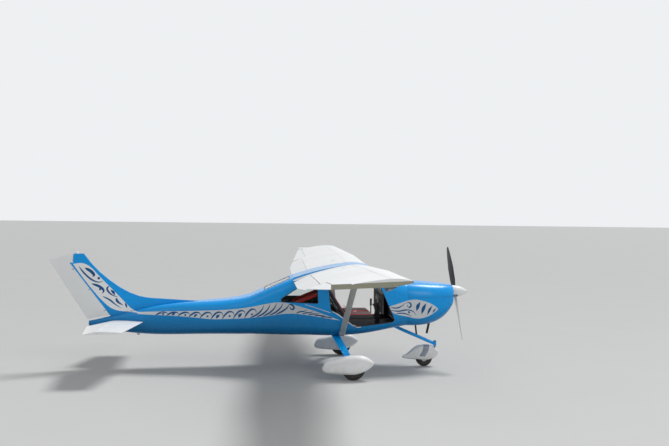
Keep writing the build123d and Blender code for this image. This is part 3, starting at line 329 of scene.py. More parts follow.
OWN_PAINT = {
    "cabin_shell": LINED_PAINT, "tail_cone": LINED_PAINT, "firewall": LINED_PAINT,
    "wing_left": WING_PAINT, "wing_right": WING_PAINT,
    "roof_fairing": roof_paint_and_sky_reflection("roof_paint_and_sky_reflection"), "propeller": blade_paint("blade_paint"),
}

for entry in frame["record"]["subparts"]:
    materials = NODES[entry["node"]].data.materials
    materials.clear()
    materials.append(OWN_PAINT.get(entry["node"]) or MATERIALS[entry["material_slot"]])


# Pieces

def added(name, data):
    """A new object in the scene"""
    obj = bpy.data.objects.new(name, data)
    bpy.context.scene.collection.objects.link(obj)
    return obj


def mesh_object(name, vertices, faces, smooth=True):
    mesh = bpy.data.meshes.new(name)
    mesh.from_pydata(vertices, [], faces)
    mesh.validate()
    mesh.polygons.foreach_set("use_smooth", [smooth] * len(mesh.polygons))
    mesh.update()
    return added(name, mesh)


def piece(name, shape, slot, material=None, body="airframe", smooth=True):
    """A mesh from (vertices, faces) that rides on its body and takes its slot's finish or its own"""
    obj = mesh_object(name, *shape, smooth)
    obj.data.materials.append(material or MATERIALS[slot])
    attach(obj, body)


def joined(parts):
    """Several (vertices, faces) put together"""
    vertices, faces = [], []
    for points, polygons in parts:
        start = len(vertices)
        vertices += points
        faces += [[start + index for index in face] for face in polygons]
    return vertices, faces


def oval(centre, across, up, sides=32):
    """Points round an ellipse, from its centre and two half axes"""
    centre, across, up = Vector(centre), Vector(across), Vector(up)
    return [centre + across * cos(2 * pi * k / sides) + up * sin(2 * pi * k / sides) for k in range(sides)]


def rings_mesh(rings, closed=False):
    """Faces between rings of points, with both ends filled unless closed"""
    sides, count = len(rings[0]), len(rings)
    vertices = [point for ring in rings for point in ring]
    faces = []
    for i in range(count if closed else count - 1):
        a, b = i * sides, (i + 1) % count * sides
        faces += [(a + k, a + (k + 1) % sides, b + (k + 1) % sides, b + k) for k in range(sides)]
    if not closed:
        faces += [list(range(sides))[::-1], [(count - 1) * sides + k for k in range(sides)]]
    return vertices, faces


def swept(path, half_width, half_height, face_to, closed=False, sides=8):
    """An oval bar along a path; face_to gives the direction of its height, or one for each point"""
    path = [Vector(point) for point in path]
    count = len(path)
    rings = []
    for i, point in enumerate(path):
        back = path[i - 1] if i or closed else point
        ahead = path[(i + 1) % count] if i < count - 1 or closed else point
        run = (ahead - back).normalized()
        up = Vector(face_to[i] if isinstance(face_to, list) else face_to)
        up = (up - run * up.dot(run)).normalized()
        rings.append(oval(point, run.cross(up) * half_width, up * half_height, sides))
    return rings_mesh(rings, closed)


def turned(profile, place, axis, sides=24):
    """A solid of revolution: profile holds (distance along the axis, radius) pairs"""
    axis = Vector(axis).normalized()
    one = axis.orthogonal().normalized()
    two = axis.cross(one)
    return rings_mesh([oval(Vector(place) + axis * reach, one * radius, two * radius, sides)
                       for reach, radius in profile])


def heads(name, spots, radius, height, slot="rim_metal", body="airframe"):
    """Domed screw heads at (place, normal) spots, as one piece"""
    profile = [(-0.0004, radius), (height * 0.4, radius * 0.96), (height * 0.85, radius * 0.6),
               (height, radius * 0.2)]
    piece(name, joined([turned(profile, place, normal, 10) for place, normal in spots]), slot, body=body)


# Livery: thin films laid on the skins, cut out in the side view (x, z)

FILM_GRID = 0.022
FILM_LIFT = 0.0009
FILM_LAYER = 0.0005
VIEW_REACH = 5.5
VIEWS = {
    "right": (LEFT, lambda u, v: (u, -6, v)),
    "left": (-LEFT, lambda u, v: (u, 6, v)),
    "top": (-UP, lambda u, v: (u, v, 4)),
}


def tree_over(*objects):
    """The ray-casting tree over some objects' meshes"""
    parts = [([v.co.copy() for v in obj.data.vertices], [face.vertices for face in obj.data.polygons])
             for obj in objects]
    return BVHTree.FromPolygons(*joined(parts))


def skin_tree(*names):
    return tree_over(*(NODES[name] for name in names))


def cast(skin, start, aim, reach=None):
    """Where a ray meets the skin, and the normal towards it; a miss takes the skin nearest to its reach"""
    start, aim = Vector(start), Vector(aim)
    hit, normal, _, _ = skin.ray_cast(start, aim)
    if hit is None:
        if reach is None:
            return None, None
        hit, normal, _, _ = skin.find_nearest(start + aim * reach)
    return hit, normal if normal.dot(aim) < 0 else -normal


def inside(point, loops):
    """True where the point lies in an odd number of the loops"""
    x, z = point
    odd = False
    for loop in loops:
        for (x0, z0), (x1, z1) in zip(loop, loop[1:] + loop[:1]):
            if (z0 > z) != (z1 > z) and x < x0 + (z - z0) * (x1 - x0) / (z1 - z0):
                odd = not odd
    return odd


def divided(loop, step):
    """A loop with points at most step apart"""
    out = []
    for (x0, z0), (x1, z1) in zip(loop, loop[1:] + loop[:1]):
        count = max(1, int(hypot(x1 - x0, z1 - z0) / step) + 1)
        out += [(x0 + (x1 - x0) * i / count, z0 + (z1 - z0) * i / count) for i in range(count)]
    return out


def film_mesh(skin, loops, view, lift, grid):
    """Points and faces of one shape laid on the skin, seen along one of the VIEWS"""
    loops = [divided(loop, grid) for loop in loops]
    us, vs = zip(*(point for loop in loops for point in loop))
    points, edges = [], []
    for loop in loops:
        start = len(points)
        points += loop
        edges += [(start + i, start + (i + 1) % len(loop)) for i in range(len(loop))]
    for i in range(1, int((max(us) - min(us)) / grid)):
        for j in range(1, int((max(vs) - min(vs)) / grid)):
            point = (min(us) + (i + 0.5 * (j % 2)) * grid, min(vs) + j * grid)
            if inside(point, loops):
                points.append(point)
    flat, _, faces, *_ = delaunay_2d_cdt([Vector(point) for point in points], edges, [], 0, 1e-6)
    middles = [sum((flat[i] for i in face), Vector((0, 0))) / len(face) for face in faces]
    faces = [face for face, middle in zip(faces, middles) if inside(middle, loops)]
    aim, start_at = VIEWS[view]
    placed = []
    for u, v in flat:
        hit, normal = cast(skin, start_at(u, v), aim, VIEW_REACH)
        placed.append(hit + normal * lift)
    if view == "left":
        faces = [face[::-1] for face in faces]
    return placed, faces


def film(name, skin, shapes, material, layer=0, slot="wing_white", views=("right", "left"), grid=FILM_GRID):
    """Painted shapes, each a list of loops, as one thin film for each view that follows the skin"""
    lift = FILM_LIFT + layer * FILM_LAYER
    for view in views:
        shape = joined([film_mesh(skin, loops, view, lift, grid) for loops in shapes])
        piece(f"{name}_{view}", shape, slot, material)


def grown(loop, distance):
    """A closed loop moved outwards by a distance"""
    area = sum(x0 * z1 - x1 * z0 for (x0, z0), (x1, z1) in zip(loop, loop[1:] + loop[:1]))
    reach = distance if area > 0 else -distance
    out = []
    for i, (x, z) in enumerate(loop):
        (x0, z0), (x1, z1) = loop[i - 1], loop[(i + 1) % len(loop)]
        length = hypot(x1 - x0, z1 - z0) or 1.0
        out.append((x + reach * (z1 - z0) / length, z - reach * (x1 - x0) / length))
    return out


def rounded(corners, radius):
    """A closed loop with its corners rounded off"""
    out = []
    for i, corner in enumerate(corners):
        here = Vector(corner)
        back, ahead = Vector(corners[i - 1]) - here, Vector(corners[(i + 1) % len(corners)]) - here
        turn = cos(back.angle(ahead))
        reach = min(radius / sqrt((1 - turn) / (1 + turn)), 0.45 * back.length, 0.45 * ahead.length)
        first, last = here + back.normalized() * reach, here + ahead.normalized() * reach
        for step in range(7):
            t = step / 6
            out.append(tuple(first * (1 - t) ** 2 + here * (2 * t * (1 - t)) + last * t ** 2))
    return out


def round_box(u0, u1, v0, v1, radius):
    return rounded([(u0, v0), (u1, v0), (u1, v1), (u0, v1)], radius)


def ribbon(points, halves):
    """A closed shape along an open polyline, from its half width at each point"""
    left, right = [], []
    for i, ((x, z), half) in enumerate(zip(points, halves)):
        (x0, z0), (x1, z1) = points[max(0, i - 1)], points[min(len(points) - 1, i + 1)]
        length = hypot(x1 - x0, z1 - z0) or 1.0
        nx, nz = -(z1 - z0) / length * half, (x1 - x0) / length * half
        left.append((x + nx, z + nz))
        right.append((x - nx, z - nz))
    return left + right[::-1]


def line_shape(points, width):
    """A narrow closed shape along an open polyline"""
    return ribbon(points, [width / 2] * len(points))


def along(points, x):
    """Height of an open polyline at x"""
    for (x0, z0), (x1, z1) in zip(points, points[1:]):
        if min(x0, x1) <= x <= max(x0, x1):
            return z0 + (z1 - z0) * (x - x0) / (x1 - x0)
    return points[0][1] if x < points[0][0] else points[-1][1]


def smooth_line(points, rounds=2):
    """An open polyline with its corners cut round after round"""
    for _ in range(rounds):
        out = [points[0]]
        for a, b in zip(points, points[1:]):
            out += [tuple(0.75 * p + 0.25 * q for p, q in zip(a, b)),
                    tuple(0.25 * p + 0.75 * q for p, q in zip(a, b))]
        points = out + [points[-1]]
    return points


# The livery's motifs. `place` turns (s, t) into the side view's (x, z).

STROKE_TIP = 0.15
SCROLL_TURNS = 1.15


def plain_place(s, t):
    return s, t


def stroke(path, width, place=plain_place):
    """A brush stroke along a path of (s, t) points, thin at its ends"""
    line = [place(*point) for point in smooth_line(path, 3)]
    halves = []
    for i in range(len(line)):
        share = i / (len(line) - 1)
        swell = sin(pi * min(1.0, 0.08 + share * 0.92)) ** 0.5
        taper = min(1.0, share / 0.25, (1 - share) / 0.5) * (1 - STROKE_TIP) + STROKE_TIP
        halves.append(0.5 * width * max(0.12, swell) * taper)
    return ribbon(line, halves)


def dot(s, t, radius, place=plain_place):
    x, z = place(s, t)
    return [(x + radius * cos(k * pi / 8), z + radius * sin(k * pi / 8)) for k in range(16)]


def leaf(start, end, bulge, place=plain_place):
    """A pointed leaf from one (s, t) point to another, twice as full on its left as on its right"""
    (x0, z0), (x1, z1) = place(*start), place(*end)
    nx, nz = -(z1 - z0), (x1 - x0)
    left, right = [], []
    for i in range(1, 12):
        share = i / 12
        rise = bulge * sin(pi * share) * (0.6 + 0.4 * sin(pi * share))
        x, z = x0 + (x1 - x0) * share, z0 + (z1 - z0) * share
        left.append((x + nx * rise, z + nz * rise))
        right.append((x - nx * rise * 0.5, z - nz * rise * 0.5))
    return [(x0, z0)] + left + [(x1, z1)] + right[::-1]


def scroll(s, t, radius, start_angle, t_metres=1.0):
    """The path of a scroll that curls in to (s, t), where one unit of t is t_metres high"""
    steps = int(12 * SCROLL_TURNS)
    out = []
    for i in range(steps + 1):
        share = i / steps
        angle = start_angle - 2 * pi * SCROLL_TURNS * share
        reach = radius * (1 - 0.78 * share)
        out.append((s + reach * cos(angle), t + reach * sin(angle) / t_metres))
    return out


def pattern(name, skin, marks):
    """Blue motifs over a livery panel"""
    film(name, skin, [[mark] for mark in marks], MARK_BLUE, 1, "body_blue")


BAND_TOP = smooth_line([
    (-1.9, 0.865), (-1.6, 0.88), (-1, 0.9), (-0.5, 0.925), (-0.2, 0.968), (0.05, 1.026),
    (0.22, 1.056), (0.38, 1.046), (0.56, 0.996), (0.8, 0.93), (1.16, 0.797)
])
BAND_LOW = smooth_line([
    (-1.9, 0.836), (-1.52, 0.825), (-1.2, 0.813), (-0.95, 0.791), (-0.76, 0.776), (-0.49, 0.786),
    (-0.16, 0.811), (0.1, 0.848), (0.4, 0.896), (0.69, 0.871), (0.94, 0.83), (1.16, 0.797)
])
PATCH = smooth_line([
    (1.905, 0.965), (1.9, 1.005), (2.05, 1.045), (2.2, 1.088), (2.3, 1.104), (2.4, 1.09),
    (2.47, 1.072), (2.58, 1.03), (2.69, 0.955), (2.66, 0.925), (2.55, 0.852), (2.42, 0.812), (2.32, 0.81),
    (2.18, 0.845), (1.98, 0.885), (1.905, 0.965)
])
FIN_PANEL = smooth_line([
    (-2.885, 1.585), (-2.8, 1.602), (-2.72, 1.597), (-2.62, 1.54), (-2.54, 1.45), (-2.44, 1.345),
    (-2.33, 1.235), (-2.2, 1.105), (-2.09, 0.99), (-1.99, 0.885), (-1.8, 0.85), (-2.02, 0.862),
    (-2.18, 0.868), (-2.29, 0.902), (-2.36, 0.95), (-2.43, 1.015), (-2.5, 1.085), (-2.6, 1.205),
    (-2.7, 1.33), (-2.8, 1.465), (-2.885, 1.585)
])


def band_place(s, t):
    """s is x in metres, t runs from -1 at the band's lower edge to 1 at its upper edge"""
    low, top = along(BAND_LOW, s), along(BAND_TOP, s)
    return s, (low + top) / 2 + 0.5 * t * (top - low)


def band_row(start, step, count, path, width):
    """A stroke repeated along the band"""
    return [stroke([(start + index * step + s, t) for s, t in path], width, band_place)
            for index in range(count)]


def side_band():
    """The silver band along the body, filled with a running pattern of waves, leaves and scrolls"""
    skin = skin_tree("cabin_shell", "tail_cone")
    film("side_band", skin, [[BAND_TOP + BAND_LOW[::-1]]], SILVER_PAINT)
    wave = [(0, -1), (0.04, -0.1), (0.1, 0.6), (0.165, 0.45), (0.185, -0.3)]
    marks = band_row(-1.62, 0.168, 9, wave, 0.026)
    for index in range(9):
        s = -1.62 + index * 0.168
        if index % 2:
            marks.append(leaf((s + 0.075, -0.9), (s + 0.135, 0.05), 0.3, band_place))
        else:
            marks.append(dot(s + 0.115, -0.4, 0.015, band_place))
    marks += band_row(-0.06, 0.095, 5, [(-0.13, -0.95), (-0.03, -0.6), (0.05, 0.1), (0.08, 0.95)], 0.024)
    marks.append(stroke(scroll(0.43, 0.25, 0.055, 3, 0.075), 0.028, band_place))
    marks += band_row(0.5, 0.09, 5, [(0, -0.9), (0.05, -0.35), (0.12, -0.05), (0.17, 0.75)], 0.019)
    marks.append(leaf((0.93, -0.35), (1.05, 0.2), 0.1, band_place))
    pattern("band_pattern", skin, marks)
    line = smooth_line([(0.63, 1.03), (0.8, 0.982), (1.01, 0.912)])
    film("thin_line", skin, [[line_shape(line, 0.009)]], SILVER_PAINT)


def nose_patch():
    """The silver patch on each side of the cowl, with scrolls and leaves of its own"""
    skin = skin_tree("cabin_shell", "cowl_top", "cowl_bottom")
    film("nose_patch", skin, [[PATCH[:-1]]], SILVER_PAINT)
    pattern("patch_pattern", skin, [
        stroke(scroll(2.21, 1.012, 0.052, 2.6), 0.024),
        stroke([(1.92, 0.99), (2.02, 0.972), (2.1, 1.005), (2.165, 1.06)], 0.019),
        stroke([(1.92, 0.945), (2.06, 0.925), (2.17, 0.95), (2.28, 0.93), (2.33, 0.86)], 0.021),
        stroke([(2, 0.893), (2.11, 0.9), (2.2, 0.878), (2.26, 0.835)], 0.017),
        dot(2.215, 0.908, 0.017),
        leaf((2.33, 0.92), (2.39, 1.07), 0.22),
        leaf((2.41, 0.87), (2.485, 1.05), 0.18),
        leaf((2.5, 0.86), (2.585, 1.01), 0.15),
        leaf((2.585, 0.89), (2.65, 0.965), 0.16),
    ])


def fin_place(s, t):
    """s runs from the panel's foot (0) to its head (1), t from its rear edge (-1) to its front edge (1)"""
    rear = Vector((-2.27, 0.89)).lerp(Vector((-2.86, 1.575)), s)
    front = Vector((-1.99, 0.89)).lerp(Vector((-2.66, 1.575)), s)
    return tuple(rear.lerp(front, (t + 1) / 2))


def fin_panel():
    """The pale panel on each side of the fin, with hooks, leaves and a running stem of its own"""
    skin = skin_tree("fin", "tail_cone")
    film("fin_panel", skin, [[FIN_PANEL[:-1]]], MATERIALS["wing_white"], grid=FILM_GRID / 2)
    pattern("fin_pattern", skin, [
        stroke([(0.96, -0.6), (0.82, -0.75), (0.66, -0.55), (0.6, 0.1), (0.64, 0.85)], 0.026, fin_place),
        stroke([(0.93, 0.05), (0.86, 0.5), (0.76, 0.45), (0.74, -0.05)], 0.046, fin_place),
        stroke([(0.58, -0.95), (0.52, -0.2), (0.42, -0.15), (0.36, -0.75)], 0.04, fin_place),
        stroke([(0.53, 0.98), (0.46, 0.25), (0.33, 0.2), (0.28, 0.75)], 0.028, fin_place),
        leaf((0.45, 0.72), (0.32, 0.62), 0.24, fin_place),
        stroke([(0.3, -0.95), (0.22, -0.45), (0.12, -0.35), (0.04, -0.05)], 0.024, fin_place),
        stroke([(0.26, 0.45), (0.18, 0.15), (0.1, 0.45)], 0.036, fin_place),
        leaf((0.16, 0.92), (0.03, 0.55), 0.2, fin_place),
        dot(0.7, 0.62, 0.02, fin_place),
        dot(0.455, -0.52, 0.016, fin_place),
    ])


# Trim round the openings

TRIM_STEP = 0.03
DOORWAY = [(1.668, 1.5), (1.979, 0.803), (1.955, 0.77), (1.389, 0.706), (1.123, 0.908), (1.022, 0.95),
           (0.975, 1.372)]
SIDE_WINDOW = [(0.28, 1.062), (0.822, 1.05), (0.806, 1.338), (0.612, 1.338), (0.276, 1.103)]
SILL = [(1.035, 0.937), (1.119, 0.896), (1.384, 0.694), (1.47, 0.704)]
PILLAR = [(1.668, 1.53), (1.7, 1.472), (1.75, 1.386), (1.8, 1.298), (1.85, 1.21), (1.93, 1.241),
          (2.02, 1.277), (2.11, 1.313)]


def on_side(skin, side, x, z):
    """The skin's point and outward normal at (x, z), seen from one side"""
    return cast(skin, (x, side * 3, z), LEFT * -side, 2.45)


def on_top(skin, x, y):
    return cast(skin, (x, y, 4), -UP)


def strip(spots, half_width, half_height, closed=False):
    """An oval bar over (place, normal) spots"""
    path, normals = zip(*spots)
    return swept(path, half_width, half_height, list(normals), closed)


def opening_trim():
    """Rubber seals round the doorways and side windows, and the white sill strip of each doorway"""
    skin = skin_tree("cabin_shell", "side_window_left", "side_window_right")
    loops = (("door_seal", rounded(DOORWAY, 0.03), 0.004, 0.006),
             ("window_gasket", rounded(SIDE_WINDOW, 0.014), 0.001, 0.005))
    for word, side in SIDES:
        for name, loop, outwards, half in loops:
            spots = [on_side(skin, side, x, z) for x, z in grown(divided(loop, TRIM_STEP), outwards)]
            piece(f"{name}_{word}", strip(spots, half, half * 0.8, True), "tyre_rubber", SEAL)
        spots = [on_side(skin, side, x, z) for x, z in smooth_line(SILL)]
        piece(f"sill_strip_{word}", strip(spots, 0.01, 0.0035), "wing_white")


def windshield_trim():
    """The strip that clamps the windshield, down each pillar and across in front, with its screws"""
    skin = skin_tree("cabin_shell", "windshield")
    spots = [on_side(skin, -1, x, z) for x, z in PILLAR]
    spots += [on_top(skin, 2.186, y) for y in (-0.33, -0.24, -0.12, 0, 0.12, 0.24, 0.33)]
    spots += [on_side(skin, 1, x, z) for x, z in PILLAR[::-1]]
    piece("windshield_strip", strip(spots, 0.009, 0.003), "body_blue")
    heads("windshield_screws", [(hit + normal * 0.0028, normal) for hit, normal in spots], 0.004, 0.0015)
    skin = skin_tree("cabin_shell", "rear_window")
    loop = round_box(0.02, 0.4, -0.25, 0.25, 0.03)
    spots = [on_top(skin, x, y) for x, y in divided(loop, TRIM_STEP)]
    piece("rear_window_gasket", strip(spots, 0.006, 0.004, True), "tyre_rubber", SEAL)


# Seats: simulated cushions, then seams and belts

SEAT_Y = 0.2345
SEAT_HALF = 0.197
PANEL_HALF = 0.135
RED_WIDTH = 0.045
VOXEL = 0.006
PRESSURE = 4.0
CLOTH_FRAMES = 20


def apply_modifiers(obj):
    """The mesh as its modifiers leave it"""
    graph = bpy.context.evaluated_depsgraph_get()
    mesh = bpy.data.meshes.new_from_object(obj.evaluated_get(graph))
    obj.modifiers.clear()
    obj.data = mesh


def stuffed(name, corners, cap):
    """A cushion from its block's lower and upper four corners, swollen at most cap by cloth simulation"""
    obj = mesh_object(name, corners,
                      [(0, 3, 2, 1), (4, 5, 6, 7), (0, 1, 5, 4), (1, 2, 6, 5), (2, 3, 7, 6), (3, 0, 4, 7)])
    mesh = bmesh.new()
    mesh.from_mesh(obj.data)
    bmesh.ops.bevel(mesh, geom=list(mesh.edges), offset=0.012, segments=3, profile=0.6, affect="EDGES")
    mesh.to_mesh(obj.data)
    mesh.free()
    remesh = obj.modifiers.new("remesh", "REMESH")
    remesh.mode = "VOXEL"
    remesh.voxel_size = VOXEL
    apply_modifiers(obj)
    rest = [v.co.copy() for v in obj.data.vertices]
    cloth = obj.modifiers.new("cloth", "CLOTH")
    cloth.settings.use_pressure = True
    cloth.settings.uniform_pressure_force = PRESSURE
    cloth.settings.effector_weights.gravity = 0.0
    cloth.settings.quality = 4
    cloth.point_cache.frame_start, cloth.point_cache.frame_end = 1, CLOTH_FRAMES
    for step in range(1, CLOTH_FRAMES + 1):
        bpy.context.scene.frame_set(step)
    apply_modifiers(obj)
    bpy.context.scene.frame_set(1)
    for vertex, start in zip(obj.data.vertices, rest):
        move = vertex.co - start
        if move.length > cap:
            vertex.co = start + move.normalized() * cap
    return obj


def sewn(obj, across, lines, up, depth=0.005, width=0.007):
    """Pressed-in seams at the given places along one direction, on the faces that look up"""
    pushes = []
    for vertex in obj.data.vertices:
        if vertex.normal.dot(up) < 0.3:
            continue
        spot = vertex.co.dot(across)
        push = max(exp(-((spot - line) / width) ** 2) for line in lines)
        if push > 0.02:
            pushes.append((vertex, vertex.normal * (-depth * push)))
    for vertex, move in pushes:
        vertex.co += move


def finish_cushion(obj, node, centre_y):
    """Red cloth along the two side panels, black cloth elsewhere"""
    subdivide = obj.modifiers.new("smooth", "SUBSURF")
    subdivide.levels = subdivide.render_levels = 1
    apply_modifiers(obj)
    obj.data.materials.append(MATERIALS["seat_fabric"])
    obj.data.materials.append(RED_CLOTH)
    for face in obj.data.polygons:
        offset = abs(face.center.y - centre_y)
        red = PANEL_HALF < offset < PANEL_HALF + RED_WIDTH and face.normal.z > 0.1
        face.material_index = 1 if red else 0
        face.use_smooth = True
    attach(obj, "airframe")
    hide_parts(node)


def seats():
    """A seat pad and a back pad on each side, with their belts"""
    run = Vector((1.025 - 1.272, 0, 1.22 - 0.834)).normalized()
    out = Vector((run.z, 0, -run.x))
    foot, back = Vector((1.262, 0, 0.842)), Vector((1.232, 0, 0.822))
    top, top_back = foot + run * 0.43, back + run * 0.438
    for word, side in SIDES:
        middle = side * SEAT_Y
        low, high = middle - SEAT_HALF, middle + SEAT_HALF
        panel = (middle - PANEL_HALF, middle + PANEL_HALF)
        corners = [(x, y, z) for z in (0.808, 0.868)
                   for x, y in ((1.268, low), (1.677, low), (1.677, high), (1.268, high))]
        cushion = stuffed(f"seat_pad_{word}", corners, 0.008)
        sewn(cushion, LEFT, panel, UP)
        sewn(cushion, FORWARD, (1.36, 1.45, 1.54, 1.63), UP, 0.003)
        finish_cushion(cushion, f"seat_cushion_{word}", middle)

        corners = [(spot.x, y, spot.z) for rear, front in ((back, foot), (top_back, top))
                   for spot, y in ((rear, low), (front, low), (front, high), (rear, high))]
        cushion = stuffed(f"back_pad_{word}", corners, 0.007)
        sewn(cushion, LEFT, panel, out)
        sewn(cushion, run, [foot.dot(run) + reach for reach in (0.09, 0.18, 0.27, 0.36)], out, 0.003)
        finish_cushion(cushion, f"seat_back_{word}", middle)
        belts(word, side, tree_over(cushion))


def belts(word, side, skin):
    """Two shoulder straps and two lap straps with a buckle, lying on the cushions"""
    middle, turn = side * SEAT_Y, side * 0.8
    straps = []
    for y in (middle - 0.085, middle + 0.085):
        found = [cast(skin, (2, y, z), -FORWARD) for z in (0.9, 0.96, 1.02, 1.08, 1.14, 1.19)]
        spots = [(hit + normal * 0.003, normal) for hit, normal in found]
        spots += [((1.02, y, 1.232), (0.5, 0, 0.85)), ((0.985, y, 1.226), (-0.3, 0, 0.95)),
                  ((0.92, y, 1.2), (-0.4, turn * 0.4, 0.8)), ((0.82, y, 1.155), (-0.4, turn, 0.5))]
        spots += [((x, y * share, z), (-0.3, turn, 0.5))
                  for x, share, z in ((0.68, 0.96, 1.1), (0.55, 0.93, 1.045), (0.44, 0.9, 0.985))]
        straps.append(strip(spots, 0.024, 0.0016))
    piece(f"shoulder_straps_{word}", joined(straps), "seat_fabric", WEB_RED)
    laps = [swept([(1.285, middle + hand * 0.175, 0.905), (1.32, middle + hand * 0.15, 0.898),
                   (1.37, middle + hand * 0.09, 0.894), (1.41, middle + hand * 0.03, 0.892)],
                  0.021, 0.0016, UP) for hand in (-1, 1)]
    piece(f"lap_straps_{word}", joined(laps), "seat_fabric", WEB_RED)
    profile = [(0, 0.026), (0.006, 0.028), (0.012, 0.025), (0.014, 0.012)]
    piece(f"buckle_{word}", turned(profile, (1.415, middle, 0.889), UP), "rim_metal")


# Cabin fittings

PANEL_X = 1.7995
CONSOLE_X = 1.7505
DIALS = [(-0.32, 1.115, 0.04), (-0.22, 1.115, 0.04), (-0.32, 1.015, 0.04), (-0.22, 1.015, 0.04),
         (0.22, 1.115, 0.04), (0.32, 1.115, 0.04), (0.4, 1.03, 0.028), (0.33, 1.02, 0.028),
         (-0.4, 0.93, 0.028)]
SCREENS = [(-0.085, 1.075, 0.075, 0.06), (0.1, 1.09, 0.07, 0.045)]
SCREEN_RINGS = ((1.7998, 1), (1.789, 1), (1.786, 0.97), (1.786, 0.9), (1.7885, 0.88))


def dial(y, z, radius):
    """A round instrument on the panel: bezel and needle, facing the seats"""
    bezel = turned([(0, radius + 0.006), (0.004, radius + 0.006), (0.006, radius + 0.003), (0.006, radius),
                    (0.002, radius - 0.001)], (PANEL_X, y, z), -FORWARD, 32)
    reach, x = radius * 0.75, PANEL_X - 0.0035
    needle = swept([(x, y - reach * 0.3, z - reach * 0.35), (x, y + reach * 0.5, z + reach * 0.6)],
                   0.0015, 0.0008, FORWARD, sides=6)
    return bezel, needle


def screen(y, z, wide, high):
    """A display with rounded corners, from its middle and its half sizes"""
    loop = round_box(y - wide, y + wide, z - high, z + high, 0.008)
    return rings_mesh([[Vector((x, y + (v - y) * size, z + (w - z) * size)) for v, w in loop]
                       for x, size in SCREEN_RINGS])


def cabin_fittings():
    """Instruments, screens, switches and knobs on the panel, its padded lip, and pedal treads"""
    bezels, needles = zip(*(dial(*entry) for entry in DIALS))
    piece("dial_bezels", joined(bezels), "dark_metal")
    piece("dial_needles", joined(needles), "wing_white")
    piece("panel_screens", joined([screen(*entry) for entry in SCREENS]), "dark_metal")
    knobs = [turned([(0, 0.006), (0.014, 0.006), (0.014, 0.013), (0.026, 0.014), (0.03, 0.01)],
                    (CONSOLE_X, y, 0.97), -FORWARD) for y in (-0.035, 0, 0.035)]
    knobs += [turned([(0, 0.004), (0.01, 0.0035), (0.013, 0.005), (0.016, 0.003)],
                     (1.799, side * y, 0.915), -FORWARD, 12)
              for side in (-1, 1) for y in (0.21, 0.24, 0.27, 0.3)]
    piece("panel_knobs", joined(knobs), "dark_metal")
    lip = [(1.7985, y, 1.1885) for y in (-0.465, -0.3, -0.1, 0.1, 0.3, 0.465)]
    piece("panel_lip", swept(lip, 0.009, 0.007, UP, sides=12), "cabin_dark")
    treads = [swept([(2.0295, y - 0.035, z), (2.0295, y + 0.035, z)], 0.004, 0.003, FORWARD)
              for y in (-0.35, -0.17, 0.17, 0.35) for z in (0.855, 0.87, 0.885)]
    piece("pedal_treads", joined(treads), "tyre_rubber")


# Skin details

COWL_SPLIT_Z = 1.132
COWL_SEAM = 0.0025
WING_SEAM = 0.003
INTAKE_RADIUS = 0.046

# A wing's plan: nose line, sweep and chord, with the taper's start and length along y
WING_NOSE_X = 1.65
WING_SWEEP = 0.16
CHORD = 1.196
TIP_CHORD = 0.8
TAPER_START = 2.1
TAPER_LENGTH = 2.45

SHAFT_Z = 1.187
SPINNER_X = 2.985
CAP_RINGS = ((-0.3, 0.99), (0.05, 1), (0.4, 0.94), (0.75, 0.75), (0.95, 0.45), (1, 0.15))


def cowl_details():
    """The split line of the cowl, its fasteners, the oil door's outline and the intake lips"""
    skin = skin_tree("cowl_top", "cowl_bottom", "cabin_shell")
    film("cowl_split", skin, [[line_shape([(2.205, COWL_SPLIT_Z), (2.95, COWL_SPLIT_Z)], COWL_SEAM)]], SEAM)
    film("cowl_joint", skin, [[line_shape([(2.2, 0.73), (2.2, 1.3)], COWL_SEAM)]], SEAM)
    for word, side in SIDES:
        spots = [on_side(skin, side, 2.25 + 0.095 * i, COWL_SPLIT_Z + hand * 0.016) for i in range(8)
                 for hand in (-1, 1)]
        spots += [on_side(skin, side, 2.216, 0.78 + 0.085 * i) for i in range(7)]
        heads(f"cowl_fasteners_{word}", spots, 0.005, 0.0016, "body_blue")
    door = round_box(2.42, 2.56, -0.22, -0.08, 0.015)
    film("oil_door_line", skin, [[door, grown(door, -0.003)]], SEAM, views=("top",))
    heads("oil_door_latch", [on_top(skin, 2.55, -0.15)], 0.008, 0.002, "body_blue")
    lips = [swept(oval((2.9655, side * 0.15, 1.196), (0, INTAKE_RADIUS, 0), (0, 0, INTAKE_RADIUS)),
                  0.005, 0.006, FORWARD, True) for side in (-1, 1)]
    piece("intake_lips", joined(lips), "body_blue")


def wing_x(y, share):
    """The place on the chord, 0 at the nose and 1 at the tail, at a distance from the middle"""
    taper = max(0.0, (y - TAPER_START) / TAPER_LENGTH)
    return WING_NOSE_X - WING_SWEEP * taper - share * (CHORD - taper * (CHORD - TIP_CHORD))


def strut_cuffs(side):
    """A collar near each end of a strut"""
    foot, head = Vector((1.187, side * 0.5, 0.566)), Vector((1.2, side * 2.235, 1.548))
    run = (head - foot).normalized()
    wide = (FORWARD - run * run.x).normalized()
    thick = run.cross(wide)
    profile = ((0, 0.002), (0.004, 0.005), (0.096, 0.005), (0.1, 0.002))
    cuffs = []
    for start in (0.035, (head - foot).length - 0.19):
        rings = [oval(foot + run * (start + reach), wide * (0.0425 + grow), thick * (0.0175 + grow))
                 for reach, grow in profile]
        cuffs.append(rings_mesh(rings))
    return joined(cuffs)


